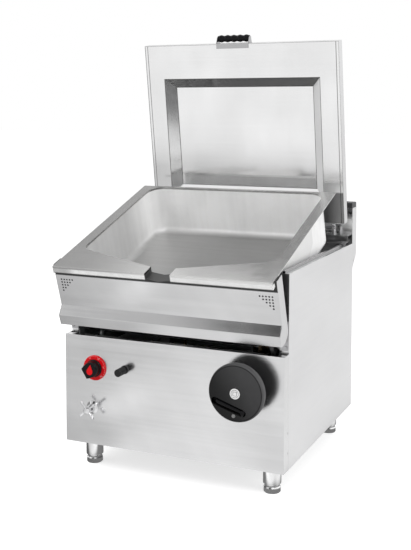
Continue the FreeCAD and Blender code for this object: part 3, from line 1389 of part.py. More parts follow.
def gas_manifold():
    """Manifold along the left side, with one jet into each burner."""
    end = burner_places()[-1] + MANIFOLD_LAP
    parts = [rod_y(MANIFOLD_X, manifold_start(), end, BURNER_Z, MANIFOLD_RADIUS)]
    for y in burner_places():
        parts.append(rod_x(MANIFOLD_X, -BURNER_HALF, y, BURNER_Z, JET_RADIUS))
    return fuse(parts)


def burner_tubes():
    """Burner tubes with a slot of ports along the top, closed at both ends."""
    tubes = []
    for y in burner_places():
        tube = rod_x(-BURNER_HALF, BURNER_HALF, y, BURNER_Z, BURNER_RADIUS)
        end = BURNER_HALF - BURNER_END
        room = rod_x(-end, end, y, BURNER_Z, BURNER_RADIUS - BURNER_WALL)
        end = BURNER_HALF - BURNER_PORT_MARGIN
        front = y - BURNER_PORT_HALF
        rear = front + 2.0 * BURNER_PORT_HALF
        slot = box(-end, end, front, rear, BURNER_Z, BURNER_Z + 2.0 * BURNER_RADIUS)
        tubes.append(tube.cut(room).cut(slot))
    return Part.makeCompound(tubes)


def burner_tray():
    """Tray under the burners on the side rails, with two notched ribs that the tubes lie in."""
    front = burner_places()[0] - TRAY_MARGIN
    back = burner_places()[-1] + TRAY_MARGIN
    tray = box(-INNER + 1.0, INNER - 1.0, front, back, TRAY_Z, TRAY_Z + SHEET)
    parts = [tray]
    for x in (-TRAY_RIB_X, TRAY_RIB_X):
        rib = box(x, x + TRAY_RIB, front + TRAY_RIB, back - TRAY_RIB, TRAY_Z, TRAY_RIB_TOP)
        for y in burner_places():
            rib = rib.cut(rod_x(x - TRAY_RIB, x + 2.0 * TRAY_RIB, y, BURNER_Z, BURNER_RADIUS))
        parts.append(rib)
    return fuse(parts)


def water_supply_pipe():
    """Supply pipe from the threaded inlet at the rear to the stub under the water valve."""
    start = BODY_DEPTH + INLET_GAP
    points = [
        Vector(TAP_X, start + 1.0, WATER_INLET_Z),
        Vector(TAP_X, WATER_RISE_Y, WATER_INLET_Z),
        Vector(TAP_X, WATER_RISE_Y, TAP_Z - WATER_FOOT_REACH),
    ]
    inlet = rod_y(TAP_X, start, start + INLET_REACH, WATER_INLET_Z, INLET_RADIUS)
    return fuse([pipe(points, WATER_SUPPLY_RADIUS, PIPE_BEND), inlet])


def water_fill_pipe():
    """Fill pipe from the water valve to the jet in the ledge's riser, behind the pan."""
    points = [
        Vector(TAP_X, WATER_VALVE_END, TAP_Z),
        Vector(TAP_X, WATER_UP_Y, TAP_Z),
        Vector(TAP_X, WATER_UP_Y, WATER_JET_Z),
        Vector(TAP_X, LEDGE_RISER - WATER_JET_PROUD, WATER_JET_Z),
    ]
    return pipe(points, WATER_PIPE_RADIUS, WATER_PIPE_BEND)


def rear_ledge():
    """Stepped ledge between the pan and the flue, with the hole for the water jet."""
    path = [
        (FLUE_FRONT, LEDGE_HIGH),
        (LEDGE_RISER, LEDGE_HIGH),
        (LEDGE_RISER, LEDGE_LOW),
        (LEDGE_FRONT, LEDGE_LOW),
        (LEDGE_FRONT, LEDGE_LOW - LEDGE_SKIRT),
    ]
    sheet = prism_x(folded_sheet(path, SHEET), -INNER, INNER)
    front = LEDGE_RISER - WATER_JET_PROUD
    hole = rod_y(TAP_X, front, LEDGE_RISER + WATER_JET_PROUD, WATER_JET_Z, WATER_PIPE_RADIUS + FACE_GAP)
    flange_in = TOP_FLANGE_IN - FACE_GAP
    flange_room = box(flange_in, HALF, LEDGE_FRONT - FLANGE, LEDGE_FRONT + FLANGE, 0.0, SIDE_TOP)
    return cut(sheet, [hole, flange_room, mirrored(flange_room)])


def flue_front_panel():
    """Front sheet of the flue, above the ledge, ending below the dark slot under the cap."""
    return box(-INNER, INNER, FLUE_FRONT, FLUE_FRONT + SHEET, LEDGE_HIGH - FLUE_LAP, FLUE_TOP - FLUE_SLOT)


def flue_back_panel():
    """Back sheet of the flue with its slanted foot."""
    path = [(BODY_DEPTH, FLUE_MOUTH), (FLUE_BACK, FLUE_FOOT), (FLUE_BACK, FLUE_TOP)]
    return prism_x(folded_sheet(path, SHEET), -INNER, INNER)


def flue_cheek():
    """Right-hand side plate of the flue."""
    outline = [
        (FLUE_FRONT, FLUE_TOP - FLUE_CORNER),
        (FLUE_FRONT + FLUE_CORNER, FLUE_TOP),
        (FLUE_BACK, FLUE_TOP),
        (FLUE_BACK, FLUE_FOOT),
        (BODY_DEPTH + FACE_GAP, FLUE_MOUTH),
        (BODY_DEPTH + FACE_GAP, SIDE_TOP + FACE_GAP),
        (FLUE_FRONT, SIDE_TOP + FACE_GAP),
    ]
    plate = prism_x(outline, INNER, HALF)
    hole = rod_x(INNER - RIVET_LENGTH, HALF + RIVET_LENGTH, FLUE_RIVET_Y, FLUE_RIVET_Z, RIVET_RADIUS)
    return plate.cut(hole)


def flue_cap():
    """Dark cast cap over the flue: a frame with a row of bars and open slots between them."""
    front = FLUE_FRONT - CAP_OVERHANG
    back = FLUE_BACK + CAP_OVERHANG
    top = FLUE_TOP + CAP_HEIGHT
    body = box(-INNER, INNER, front, back, FLUE_TOP, top)
    body = body.makeFillet(CAP_ROUND, edges_where(body, lambda p: abs(p.z - top) < 0.01))
    end = INNER - CAP_END
    tools = [box(-end, end, front + CAP_WALL, back - CAP_WALL, FLUE_TOP, top - CAP_WALL)]
    span = end - CAP_END
    pitch = 2.0 * span / CAP_SLOT_COUNT
    slot_front = front + CAP_WALL + CAP_END
    slot_back = back - CAP_WALL - CAP_END
    for index in range(CAP_SLOT_COUNT):
        low = -span + (index + 0.5 - CAP_SLOT_SHARE / 2.0) * pitch
        tools.append(box(low, low + pitch * CAP_SLOT_SHARE, slot_front, slot_back, FLUE_TOP, top + 1.0))
    return cut(body, tools)


def lid_outer_skin():
    """Outer skin of the lid, given closed: a shallow tray turned upside down."""
    half = LID_WIDTH / 2.0
    front = LID_REAR - LID_LENGTH
    top = LID_UNDERSIDE + LID_THICK
    outer = box(-half, half, front, LID_REAR, LID_UNDERSIDE, top)
    outer = outer.makeFillet(LID_ROUND, edges_where(outer, lambda p: abs(p.z - top) < 0.01))
    side = half - SHEET
    inner = box(-side, side, front + SHEET, LID_REAR - SHEET, LID_UNDERSIDE - 1.0, top - SHEET)
    return outer.cut(inner)


def frustum(half, front, back, low, high, slope):
    """Block whose four sides lean inwards towards the top."""
    wires = []
    for inset, height in ((0.0, low), (slope, high)):
        x = half - inset
        near = front + inset
        far = back - inset
        corners = [(-x, near), (x, near), (x, far), (-x, far), (-x, near)]
        wires.append(Part.makePolygon([Vector(px, py, height) for px, py in corners]))
    return Part.makeLoft(wires, True, True)


def lid_inner_skin():
    """Inner skin of the lid, given closed: flat border and a dished middle with mitred slopes."""
    half = LID_WIDTH / 2.0 - SHEET
    front = LID_REAR - LID_LENGTH + SHEET
    back = LID_REAR - SHEET
    dish_front = LID_REAR - LID_LENGTH + RECESS_FRONT_MARGIN
    dish_back = LID_REAR - RECESS_REAR_MARGIN
    low = LID_UNDERSIDE
    border = box(-half, half, front, back, low, low + SHEET)
    top = low + RECESS_DEPTH
    outside = RECESS_HALF + SHEET
    shell = frustum(outside, dish_front - SHEET, dish_back + SHEET, low, top + SHEET, RECESS_SLOPE)
    hollow = frustum(RECESS_HALF, dish_front, dish_back, low, top, RECESS_SLOPE)
    return fuse([border, shell]).cut(hollow)


def handle_bracket():
    """Bent handle bracket on the lid's front edge: lip, front plate and two side arms."""
    edge = LID_REAR - LID_LENGTH
    low = LID_UNDERSIDE - SHEET
    x0 = HANDLE_X - HANDLE_HALF
    x1 = HANDLE_X + HANDLE_HALF
    lip = box(x0, x1, edge - SHEET, edge + HANDLE_LIP, low, LID_UNDERSIDE)
    plate = box(x0, x1, edge - SHEET, edge, low, LID_UNDERSIDE + HANDLE_PLATE)
    grip_z = grip_height()
    grip_y = edge - GRIP_AHEAD
    parts = [lip, plate]
    outline = [
        (edge, low),
        (edge, LID_UNDERSIDE + HANDLE_PLATE),
        (grip_y - HANDLE_ARM_FACE, grip_z + HANDLE_ARM_NOSE),
        (grip_y - HANDLE_ARM_NOSE, grip_z),
        (grip_y - HANDLE_ARM_FACE, grip_z - HANDLE_ARM_NOSE),
    ]
    for x in (x0, x1 - HANDLE_ARM_SHEET):
        parts.append(prism_x(outline, x, x + HANDLE_ARM_SHEET))
    return fuse(parts)


def grip_height():
    """Height of the grip's middle line with the lid closed."""
    return LID_UNDERSIDE + LID_THICK / 2.0


def handle_grip():
    """Black grip between the bracket's arms, with a row of round bumps."""
    start = HANDLE_X - HANDLE_HALF + HANDLE_ARM_SHEET
    length = 2.0 * (HANDLE_HALF - HANDLE_ARM_SHEET)
    y = LID_REAR - LID_LENGTH - GRIP_AHEAD
    z = grip_height()
    steps = 8 * GRIP_BUMPS
    points = []
    for index in range(steps + 1):
        share = index / steps
        radius = GRIP_RADIUS - GRIP_LOBE + GRIP_LOBE * math.cos(2.0 * math.pi * (share * GRIP_BUMPS - 0.5))
        points.append(Vector(start + share * length, y + radius, z))
    spline = Part.BSplineCurve()
    spline.interpolate(points)
    near = Vector(start, y, z)
    far = Vector(start + length, y, z)
    ends = [Part.makeLine(points[-1], far), Part.makeLine(far, near), Part.makeLine(near, points[0])]
    outline = Part.Wire([spline.toShape()] + ends)
    return Part.Face(outline).revolve(near, X_AXIS, 360)


def lid_arm():
    """Right-hand hinge arm on the lid's rear wall, given closed, bored for the hinge pin."""
    x0 = HINGE_X - HINGE_ARM / 2.0
    x1 = HINGE_X + HINGE_ARM / 2.0
    low = LID_UNDERSIDE + 4.0
    high = LID_UNDERSIDE + LID_THICK - 6.0
    foot_in = HINGE_X - HINGE_FOOT_HALF
    foot_out = foot_in + 2.0 * HINGE_FOOT_HALF
    foot_plate = box(foot_in, foot_out, LID_REAR, LID_REAR + HINGE_FOOT_SHEET, low, high)
    outline = [
        (LID_REAR, low + 4.0),
        (LID_REAR, high),
        (HINGE_Y - EAR_RADIUS / 3.0, HINGE_Z + 0.94 * EAR_RADIUS),
        (HINGE_Y + EAR_RADIUS / 1.5, HINGE_Z - EAR_RADIUS / 1.5),
    ]
    plate = prism_x(outline, x0, x1)
    boss = rod_x(x0, x1, HINGE_Y, HINGE_Z, EAR_RADIUS)
    bore = rod_x(x0 - 1.0, x1 + 1.0, HINGE_Y, HINGE_Z, HINGE_PIN_RADIUS + RUNNING_CLEARANCE)
    return fuse([foot_plate, plate, boss]).cut(bore)


def hinge_block():
    """Right-hand hinge block on the ledge: a base and two ears that hold the pin."""
    back = HINGE_Y + EAR_BASE_BACK
    top = LEDGE_HIGH + EAR_BASE
    parts = [box(EAR_INNER_X, EAR_OUTER_X + EAR_WIDTH, HINGE_Y - EAR_BASE_FRONT, back, LEDGE_HIGH, top)]
    bores = []
    for x in (EAR_INNER_X, EAR_OUTER_X):
        parts.append(box(x, x + EAR_WIDTH, HINGE_Y - EAR_RADIUS, HINGE_Y + EAR_RADIUS, LEDGE_HIGH, HINGE_Z))
        parts.append(rod_x(x, x + EAR_WIDTH, HINGE_Y, HINGE_Z, EAR_RADIUS))
        bores.append(rod_x(x - 1.0, x + EAR_WIDTH + 1.0, HINGE_Y, HINGE_Z, HINGE_PIN_RADIUS))
    return cut(fuse(parts), bores)


def hinge_pin():
    """Right-hand hinge pin, fixed in the ears of its block."""
    end = EAR_OUTER_X + EAR_WIDTH + SHAFT_END
    return rod_x(EAR_INNER_X - SHAFT_END, end, HINGE_Y, HINGE_Z, HINGE_PIN_RADIUS)


def lid_spring():
    """Right-hand balance spring: a coil of wire around the pin, between the arm and the outer ear."""
    start = HINGE_X + HINGE_ARM / 2.0 + 2.5
    length = EAR_OUTER_X - start - 2.0 * SPRING_WIRE
    mean = HINGE_PIN_RADIUS + SPRING_GAP + SPRING_WIRE
    helix = Part.makeHelix(length / SPRING_TURNS, length, mean)
    section = Part.Wire(Part.makeCircle(SPRING_WIRE, Vector(mean, 0, 0), Y_AXIS))
    coil = Part.Wire(helix).makePipeShell([section], True, True)
    coil.rotate(Vector(0, 0, 0), Y_AXIS, 90)
    coil.translate(Vector(start + SPRING_WIRE, HINGE_Y, HINGE_Z))
    return coil


def foot_nodes():
    """Each levelling foot by name."""
    return {"foot_" + name: foot(x, y) for name, x, y in corner_positions()}


def cabinet_nodes():
    """Pieces that stand still."""
    legs = Part.makeCompound([leg_socket(x, y) for name, x, y in corner_positions()])
    return {
        "base_sheet": base_sheet(),
        "side_panel_right": side_panel(),
        "side_panel_left": mirrored(side_panel()),
        "guide_strips": both_sides(guide_strip()),
        "front_panel": front_panel(),
        "rear_panel": rear_panel(),
        "panel_rivets": rivets(),
        "side_frames": side_frames(),
        "cross_rails": cross_rails(),
        "leg_sockets": legs,
        "trunnion_brackets": both_sides(trunnion_bracket()),
        "trunnion_bushes": both_sides(trunnion_bush()),
        "bracket_bolts": bracket_bolts(),
        "drive_bracket": drive_bracket(),
        "shaft_bushes": shaft_bushes(),
        "dial_ring": dial_ring(),
        "gas_valve": gas_valve(),
        "gas_pipes": Part.makeCompound([gas_supply_pipe(), gas_feed_pipe()]),
        "gas_manifold": gas_manifold(),
        "burner_tubes": burner_tubes(),
        "burner_tray": burner_tray(),
        "igniter_barrel": igniter_barrel(),
        "tap_escutcheon": tap_escutcheon(),
        "water_valve": water_valve(),
        "water_pipes": Part.makeCompound([water_supply_pipe(), water_fill_pipe()]),
        "rear_ledge": rear_ledge(),
        "flue_panels": Part.makeCompound([flue_front_panel(), flue_back_panel()]),
        "flue_cheeks": both_sides(flue_cheek()),
        "flue_cap": flue_cap(),
        "lid_hinge_blocks": both_sides(hinge_block()),
        "lid_hinge_pins": both_sides(hinge_pin()),
        "lid_springs": both_sides(lid_spring()),
    }


def pan_nodes():
    """Pieces that tip with the pan, given level."""
    return {
        "pan_vessel": pan_vessel(),
        "pan_base_plate": pan_base_plate(),
        "pan_apron": apron_sheet(),
        "apron_ends": both_sides(apron_end()),
        "pan_arms": both_sides(pan_arm()),
        "quadrant_gear": quadrant_gear(),
    }


def lid_nodes():
    """Pieces that swing with the lid, given closed."""
    return {
        "lid_outer_skin": lid_outer_skin(),
        "lid_inner_skin": lid_inner_skin(),
        "lid_arms": both_sides(lid_arm()),
        "lid_handle_bracket": handle_bracket(),
        "lid_grip": handle_grip(),
    }


def drive_nodes():
    """Handwheel, crank and gear train."""
    return {
        "handwheel": handwheel(),
        "handwheel_cap": hub_cap(),
        "worm_shaft": worm_shaft(),
        "crank_pin": crank_pin_rod(),
        "crank_stud": crank_stud(),
        "crank_grip": crank_grip(),
        "cross_shaft": cross_shaft(),
        "worm_wheel": worm_wheel(),
        "pinion": pinion(),
    }


def control_nodes():
    """Small controls that the hand turns or presses."""
    return {
        "thermostat_knob": knob(),
        "knob_insert": knob_insert(0.6),
        "igniter_button": igniter_button(),
        "tap_handle": tap_handle(),
    }


def all_nodes():
    """Every piece by name, in the working frame."""
    nodes = cabinet_nodes()
    nodes.update(foot_nodes())
    for name, shape in pan_nodes().items():
        nodes[name] = tilted(shape)
    for name, shape in lid_nodes().items():
        nodes[name] = opened(shape)
    nodes.update(drive_nodes())
    nodes.update(control_nodes())
    return nodes


def main():
    """Write one file per piece, with the origin on the floor under the middle of the whole."""
    os.makedirs("parts", exist_ok=True)
    nodes = all_nodes()
    front = nodes["pan_vessel"].optimalBoundingBox(False).YMin
    back = nodes["flue_cap"].BoundBox.YMax
    middle = (front + back) / 2.0
    for name, shape in nodes.items():
        piece = shape.copy()
        piece.translate(Vector(0, -middle, 0))
        piece.exportStep("parts/" + name + ".step")
    print("pieces", len(nodes), "middle", round(middle, 4), "front", round(front, 3), "back", round(back, 3))
    print("front top", round(FRONT_TOP, 3), "cross shaft", round(CROSS_Y, 3), CROSS_Z)
    print("quadrant ratio", QUADRANT_TEETH / PINION_TEETH, "worm ratio", WORM_WHEEL_TEETH)


main()
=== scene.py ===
import json
import logging
import math
from collections.abc import Sequence
from dataclasses import dataclass, field
from enum import Enum
from typing import Any

import bmesh
import bpy
from mathutils import Euler, Matrix, Vector

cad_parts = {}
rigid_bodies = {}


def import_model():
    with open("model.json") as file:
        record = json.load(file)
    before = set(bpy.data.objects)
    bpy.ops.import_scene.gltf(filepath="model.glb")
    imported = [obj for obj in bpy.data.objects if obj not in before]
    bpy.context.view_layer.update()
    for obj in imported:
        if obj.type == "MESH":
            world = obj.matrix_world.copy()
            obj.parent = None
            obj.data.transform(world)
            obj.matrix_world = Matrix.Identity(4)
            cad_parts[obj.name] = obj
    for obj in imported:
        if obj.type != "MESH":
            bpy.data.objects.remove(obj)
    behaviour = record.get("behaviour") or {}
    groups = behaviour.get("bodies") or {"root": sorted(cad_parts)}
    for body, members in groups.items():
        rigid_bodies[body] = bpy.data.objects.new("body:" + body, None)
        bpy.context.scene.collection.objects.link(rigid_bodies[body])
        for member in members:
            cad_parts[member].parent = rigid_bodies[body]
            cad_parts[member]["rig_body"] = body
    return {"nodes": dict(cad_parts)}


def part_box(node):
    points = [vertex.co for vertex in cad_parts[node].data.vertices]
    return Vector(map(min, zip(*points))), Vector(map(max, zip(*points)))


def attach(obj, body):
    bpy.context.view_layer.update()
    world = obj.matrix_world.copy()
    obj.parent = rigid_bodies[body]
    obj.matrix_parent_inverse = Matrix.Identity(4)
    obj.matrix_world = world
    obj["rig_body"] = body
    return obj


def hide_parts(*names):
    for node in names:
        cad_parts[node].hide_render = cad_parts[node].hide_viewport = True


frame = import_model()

LOG = logging.getLogger("tilting_skillet")
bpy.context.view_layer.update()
MM = 0.001
MERGE = 1.0e-6
FLAT = math.radians(0.4)
PANEL_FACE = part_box("front_panel")[0].y
TILT = math.radians(18.3)
LID_OPEN = math.radians(81.5)


def at(x: float, y: float, z: float) -> Vector:
    """A point given in millimetres from the cabinet's front face, as a point of the frame."""
    return Vector((x * MM, PANEL_FACE + y * MM, z * MM))


PIVOT = at(0.0, 14.4, 526.0)
HINGE = at(0.0, 740.0, 790.0)
ACROSS = (1.0, 0.0, 0.0)
UPWARD = (0.0, 0.0, 1.0)
PAN_UP = (0.0, -math.sin(TILT), math.cos(TILT))
PAN_BACK = (0.0, math.cos(TILT), math.sin(TILT))
LID_TURN = (Matrix.Translation(HINGE) @ Matrix.Rotation(-LID_OPEN, 4, "X")
            @ Matrix.Translation(-HINGE))
WHITE = (1.0, 1.0, 1.0, 1.0)


class Sock:
    """An output socket that adds Math nodes when it stands in an expression."""

    def __init__(self, tree: "Tree", owner: bpy.types.Node, key: str | int) -> None:
        """Keep the socket's tree, its node and its key.

        Args:
            tree: Tree that the node is in.
            owner: The node.
            key: Identifier, name or index of the output.
        """
        self.tree = tree
        self.owner = owner
        self.key = key

    @property
    def socket(self) -> bpy.types.NodeSocket:
        """The wrapped output."""
        return self.tree.find(self.owner.outputs, self.key)

    def of(self, key: str | int) -> "Sock":
        """Another output of the same node."""
        return Sock(self.tree, self.owner, key)

    def math(self, operation: str, *values: Any) -> "Sock":
        """Add one Math node."""
        inputs = dict(zip(("Value", "Value_001"), values))
        return self.tree.node("ShaderNodeMath", {"operation": operation}, inputs)

    def __add__(self, other: Any) -> "Sock":
        """Sum."""
        return self.math("ADD", self, other)

    def __radd__(self, other: Any) -> "Sock":
        """Sum with a number in front."""
        return self.math("ADD", other, self)

    def __sub__(self, other: Any) -> "Sock":
        """Difference."""
        return self.math("SUBTRACT", self, other)

    def __rsub__(self, other: Any) -> "Sock":
        """Difference with a number in front."""
        return self.math("SUBTRACT", other, self)

    def __mul__(self, other: Any) -> "Sock":
        """Product."""
        return self.math("MULTIPLY", self, other)

    def __rmul__(self, other: Any) -> "Sock":
        """Product with a number in front."""
        return self.math("MULTIPLY", other, self)

    def __truediv__(self, other: Any) -> "Sock":
        """Quotient."""
        return self.math("DIVIDE", self, other)

    def __rtruediv__(self, other: Any) -> "Sock":
        """Quotient with a number in front."""
        return self.math("DIVIDE", other, self)

    def at_least(self, other: Any) -> "Sock":
        """The larger of two values."""
        return self.math("MAXIMUM", self, other)

    def size(self) -> "Sock":
        """Absolute value."""
        return self.math("ABSOLUTE", self)

    def root(self) -> "Sock":
        """Square root."""
        return self.math("SQRT", self)

    def cosine(self) -> "Sock":
        """Cosine of an angle in radians."""
        return self.math("COSINE", self)

    def eased(self, low: float, high: float) -> "Sock":
        """Smooth step from 0 at the low value to 1 at the high one."""
        limits = {"Value": self, "From Min": low, "From Max": high}
        return self.tree.node("ShaderNodeMapRange", {"interpolation_type": "SMOOTHSTEP"}, limits)

    def below(self, full: float, end: float) -> "Sock":
        """Smooth step from 1 at the first value to 0 at the second."""
        return 1.0 - self.eased(full, end)

    def band(self, start: float, full: float, fading: float, end: float) -> "Sock":
        """1 between two values, with a soft step at both ends."""
        return self.eased(start, full) * self.below(fading, end)

    def line(self, place: float, inner: float, outer: float) -> "Sock":
        """1 where the value passes a place, fading between two distances from it."""
        return (self - place).size().below(inner, outer)


class Tree:
    """A shader or geometry node tree that is filled from Python expressions."""

    def __init__(self, data: bpy.types.NodeTree) -> None:
        """Keep the node tree that is filled."""
        self.data = data

    @staticmethod
    def find(sockets: Any, key: str | int) -> bpy.types.NodeSocket:
        """Find a socket.

        Args:
            sockets: A node's inputs or outputs.
            key: Index, identifier or name.

        Returns:
            The socket.
        """
        if isinstance(key, int):
            return sockets[key]
        for socket in sockets:
            if socket.identifier == key:
                return socket
        return sockets[key]

    def node(self, kind: str, settings: dict[str, Any] | None = None,
             inputs: dict[str | int, Any] | None = None, output: str | int = 0) -> Sock:
        """Add any node.

        Args:
            kind: The node's type.
            settings: Its properties.
            inputs: Values or sockets for its inputs; a list links several to one.
            output: Which output is returned.

        Returns:
            The chosen output.
        """
        made = self.data.nodes.new(kind)
        for key, value in (settings or {}).items():
            setattr(made, key, value)
        for key, value in (inputs or {}).items():
            socket = self.find(made.inputs, key)
            for item in value if isinstance(value, list) else [value]:
                if isinstance(item, Sock):
                    self.data.links.new(item.socket, socket)
                else:
                    socket.default_value = item
        return Sock(self, made, output)

    def place(self) -> Sock:
        """Object coordinates, which are the frame's own metres."""
        return self.node("ShaderNodeTexCoord", output="Object")

    def turned(self, vector: Sock, rotation: Sequence[float]) -> Sock:
        """Coordinates turned about the origin, in radians."""
        inputs = {"Vector": vector, "Rotation": tuple(rotation)}
        return self.node("ShaderNodeMapping", None, inputs)

    def turned_place(self, turn: float) -> Sock:
        """Object coordinates turned back about X, so that grain follows a tilted piece."""
        return self.turned(self.place(), (-turn, 0.0, 0.0))

    def along(self, origin: Vector, direction: Sequence[float]) -> Sock:
        """Distance in metres from a point along a unit direction."""
        reach = self.vector_math("DOT_PRODUCT", self.place(), direction, "Value")
        return reach - origin.dot(Vector(direction))

    def facing(self, middle: Sequence[float]) -> tuple[Sock, Sock, Sock]:
        """Distances from a point of the front panel: sideways, upward and straight."""
        across, rise = self.along(at(*middle), ACROSS), self.along(at(*middle), UPWARD)
        return across, rise, (across * across + rise * rise).root()

    def axes(self, x: Any = 0.0, y: Any = 0.0, z: Any = 0.0) -> Sock:
        """A vector from its three parts."""
        return self.node("ShaderNodeCombineXYZ", None, {"X": x, "Y": y, "Z": z})

    def vector_math(self, operation: str, first: Sock, second: Any, output: str | int = 0) -> Sock:
        """Add one Vector Math node."""
        inputs = {"Vector": first, "Vector_001": second if isinstance(second, Sock) else tuple(second)}
        return self.node("ShaderNodeVectorMath", {"operation": operation}, inputs, output)

    def stretch(self, vector: Sock, scales: Any) -> Sock:
        """Scale a vector along each axis."""
        return self.vector_math("MULTIPLY", vector, scales)

    def noise(self, vector: Sock, scale: float, detail: float = 2.0, roughness: float = 0.5) -> Sock:
        """Noise between 0 and 1; the scale is in lumps a metre."""
        inputs = {"Vector": vector, "Scale": scale, "Detail": detail, "Roughness": roughness}
        return self.node("ShaderNodeTexNoise", None, inputs)

    def tint(self, tone: Sequence[float] | Sock, factor: Sock) -> Sock:
        """A colour, plain or already varied, made lighter or darker by a factor."""
        inputs = {"Vector": tone if isinstance(tone, Sock) else tuple(tone), "Scale": factor}
        return self.node("ShaderNodeVectorMath", {"operation": "SCALE"}, inputs)

    def glow(self, strength: Any) -> Sock:
        """White light from a surface."""
        return self.node("ShaderNodeEmission", None, {"Color": WHITE, "Strength": strength})

    def blend(self, factor: Sock, first: Any, second: Any) -> Sock:
        """Mix two colours; a factor of 1 gives the second."""
        inputs = {"Factor_Float": factor, "A_Color": self.solid(first), "B_Color": self.solid(second)}
        return self.node("ShaderNodeMix", {"data_type": "RGBA"}, inputs, "Result_Color")

    @staticmethod
    def solid(colour: Any) -> Any:
        """A colour with its fourth value, or a socket as it is."""
        return colour if isinstance(colour, Sock) else (*colour, 1.0)

    def bump(self, height: Sock, distance: float, below: Sock | None = None) -> Sock:
        """Bump from a height.

        Args:
            height: Height between 0 and 1.
            distance: Real height of 1, in metres.
            below: Normal of a coarser bump.

        Returns:
            The normal.
        """
        inputs = {"Height": height, "Distance": distance}
        if below is not None:
            inputs["Normal"] = below
        return self.node("ShaderNodeBump", None, inputs)


class Grain(Enum):
    """Direction that a sheet was brushed in, as lumps in a metre along each axis."""

    ALONG_X = (5.0, 700.0, 700.0)
    ALONG_Y = (700.0, 5.0, 700.0)
    ALONG_Z = (700.0, 700.0, 5.0)

    def broad(self) -> tuple[float, ...]:
        """The same direction in broad streaks: fewer lumps across, and longer ones along."""
        return tuple(scale * (0.25 if scale == min(self.value) else 0.09) for scale in self.value)


MATERIALS: dict[str, bpy.types.Material] = {}


def emptied(owner: bpy.types.Material | bpy.types.World) -> Tree:
    """Give a new material or world an empty node tree.

    Args:
        owner: The material or the world.

    Returns:
        The tree.
    """
    owner.use_nodes = True
    owner.node_tree.nodes.clear()
    return Tree(owner.node_tree)


def placed(name: str, data: bpy.types.ID) -> bpy.types.Object:
    """Put data into the scene as an object.

    Args:
        name: Name of the object.
        data: Its mesh, text, lamp or camera.

    Returns:
        The object.
    """
    made = bpy.data.objects.new(name, data)
    bpy.context.scene.collection.objects.link(made)
    return made


@dataclass(frozen=True)
class Finish:
    """A plain moulded or painted finish with fine mottling."""

    name: str
    tone: tuple[float, float, float]
    roughness: float
    metallic: float = 0.0
    specular: float = 0.5
    mottle: float = 0.08
    grit: float = 0.0
    grit_scale: float = 900.0

    def material(self) -> bpy.types.Material:
        """Make the material once.

        Returns:
            The material.
        """
        if self.name not in MATERIALS:
            material = bpy.data.materials.new(self.name)
            tree = emptied(material)
            tree.node("ShaderNodeOutputMaterial", None, {"Surface": self.surface(tree)})
            material.diffuse_color = (*self.tone, 1.0)
            MATERIALS[self.name] = material
        return MATERIALS[self.name]

    def surface(self, tree: Tree) -> Sock:
        """Build the shader.

        Args:
            tree: Tree of the material.

        Returns:
            The shader's output.
        """
        place = tree.place()
        cloud = tree.noise(place, 14.0, 4.0, 0.6) - 0.5
        fine = tree.noise(place, self.grit_scale, 2.0)
        colour = tree.tint(self.tone, 1.0 + self.mottle * cloud)
        rough = self.roughness + self.mottle * 0.9 * cloud + 0.05 * (fine - 0.5)
        normal = tree.bump(fine, self.grit)
        return self.shader(tree, colour, rough, normal)

    def shader(self, tree: Tree, colour: Sock, rough: Sock, normal: Sock,
               metal: Sock | float | None = None) -> Sock:
        """Add the surface's shader node.

        Args:
            tree: Tree of the material.
            colour: Base colour.
            rough: Roughness.
            normal: Bumped normal.
            metal: Metallic value where it isn't the finish's own.

        Returns:
            The shader's output.
        """
        return tree.node("ShaderNodeBsdfPrincipled", None, {
            "Base Color": colour, "Roughness": rough, "Normal": normal,
            "Metallic": self.metallic if metal is None else metal, "Specular IOR Level": self.specular})


@dataclass(frozen=True)
class BrushedSteel(Finish):
    """Stainless sheet brushed in one direction, with faint wipe marks, a soft wave and soft diagonal
    streaks of painted reflection.
    """

    metallic: float = 1.0
    grain: Grain = Grain.ALONG_X
    turn: float = 0.0
    depth: float = 3.0e-5
    streak: float = 0.05
    smudge: float = 0.06
    wave: float = 0.0012
    painted_streak: float = 0.16
    painted_streak_angle: float = 0.55
    painted_streak_stretch: tuple[float, float, float] = (9.0, 2.0, 0.9)
    dark_metal: float = 0.3
    patch_scale: float = 2.2
    wave_scale: float = 2.6

    def surface(self, tree: Tree) -> Sock:
        """Build the shader.

        Args:
            tree: Tree of the material.

        Returns:
            The shader's output.
        """
        place = tree.turned_place(self.turn)
        grain = tree.noise(tree.stretch(place, self.grain.value), 1.0, 3.0, 0.6)
        streak = tree.noise(tree.stretch(place, self.grain.broad()), 1.0, 2.0) - 0.5
        wipe = tree.noise(place, 7.0, 5.0, 0.62) - 0.5
        patch = tree.noise(place, self.patch_scale, 1.0) - 0.5
        # Soft diagonal streaks, lighter and glossier: a painted reflection of the studio's streaks of
        # light.
        slanted = tree.turned(place, (0.0, self.painted_streak_angle, 0.0))
        sweep = tree.noise(tree.stretch(slanted, self.painted_streak_stretch), 1.0, 3.0) - 0.5
        shade = 1.0 + self.streak * streak + self.smudge * (0.6 * wipe + 0.4 * patch)
        shade = shade + 0.05 * (grain - 0.5) + self.painted_streak * sweep
        rough = self.roughness + 1.3 * self.smudge * wipe
        rough = rough + self.streak * streak - 0.5 * self.painted_streak * sweep
        swell = tree.bump(tree.noise(place, self.wave_scale, 1.0), self.wave)
        normal = tree.bump(grain, self.depth, swell)
        left, metal = self.shares(tree)
        return self.shader(tree, tree.tint(self.tone, shade * left), rough, normal, metal)

    def shares(self, tree: Tree) -> tuple[Any, Any]:
        """Share of the sheet's own tone that is left, and how metallic it is there."""
        return 1.0, self.metallic

    def metal(self, left: Sock) -> Sock:
        """Metallic value where painted shade leaves only a share of the tone, since a shaded gap
        mirrors little.
        """
        return self.dark_metal + (self.metallic - self.dark_metal) * left


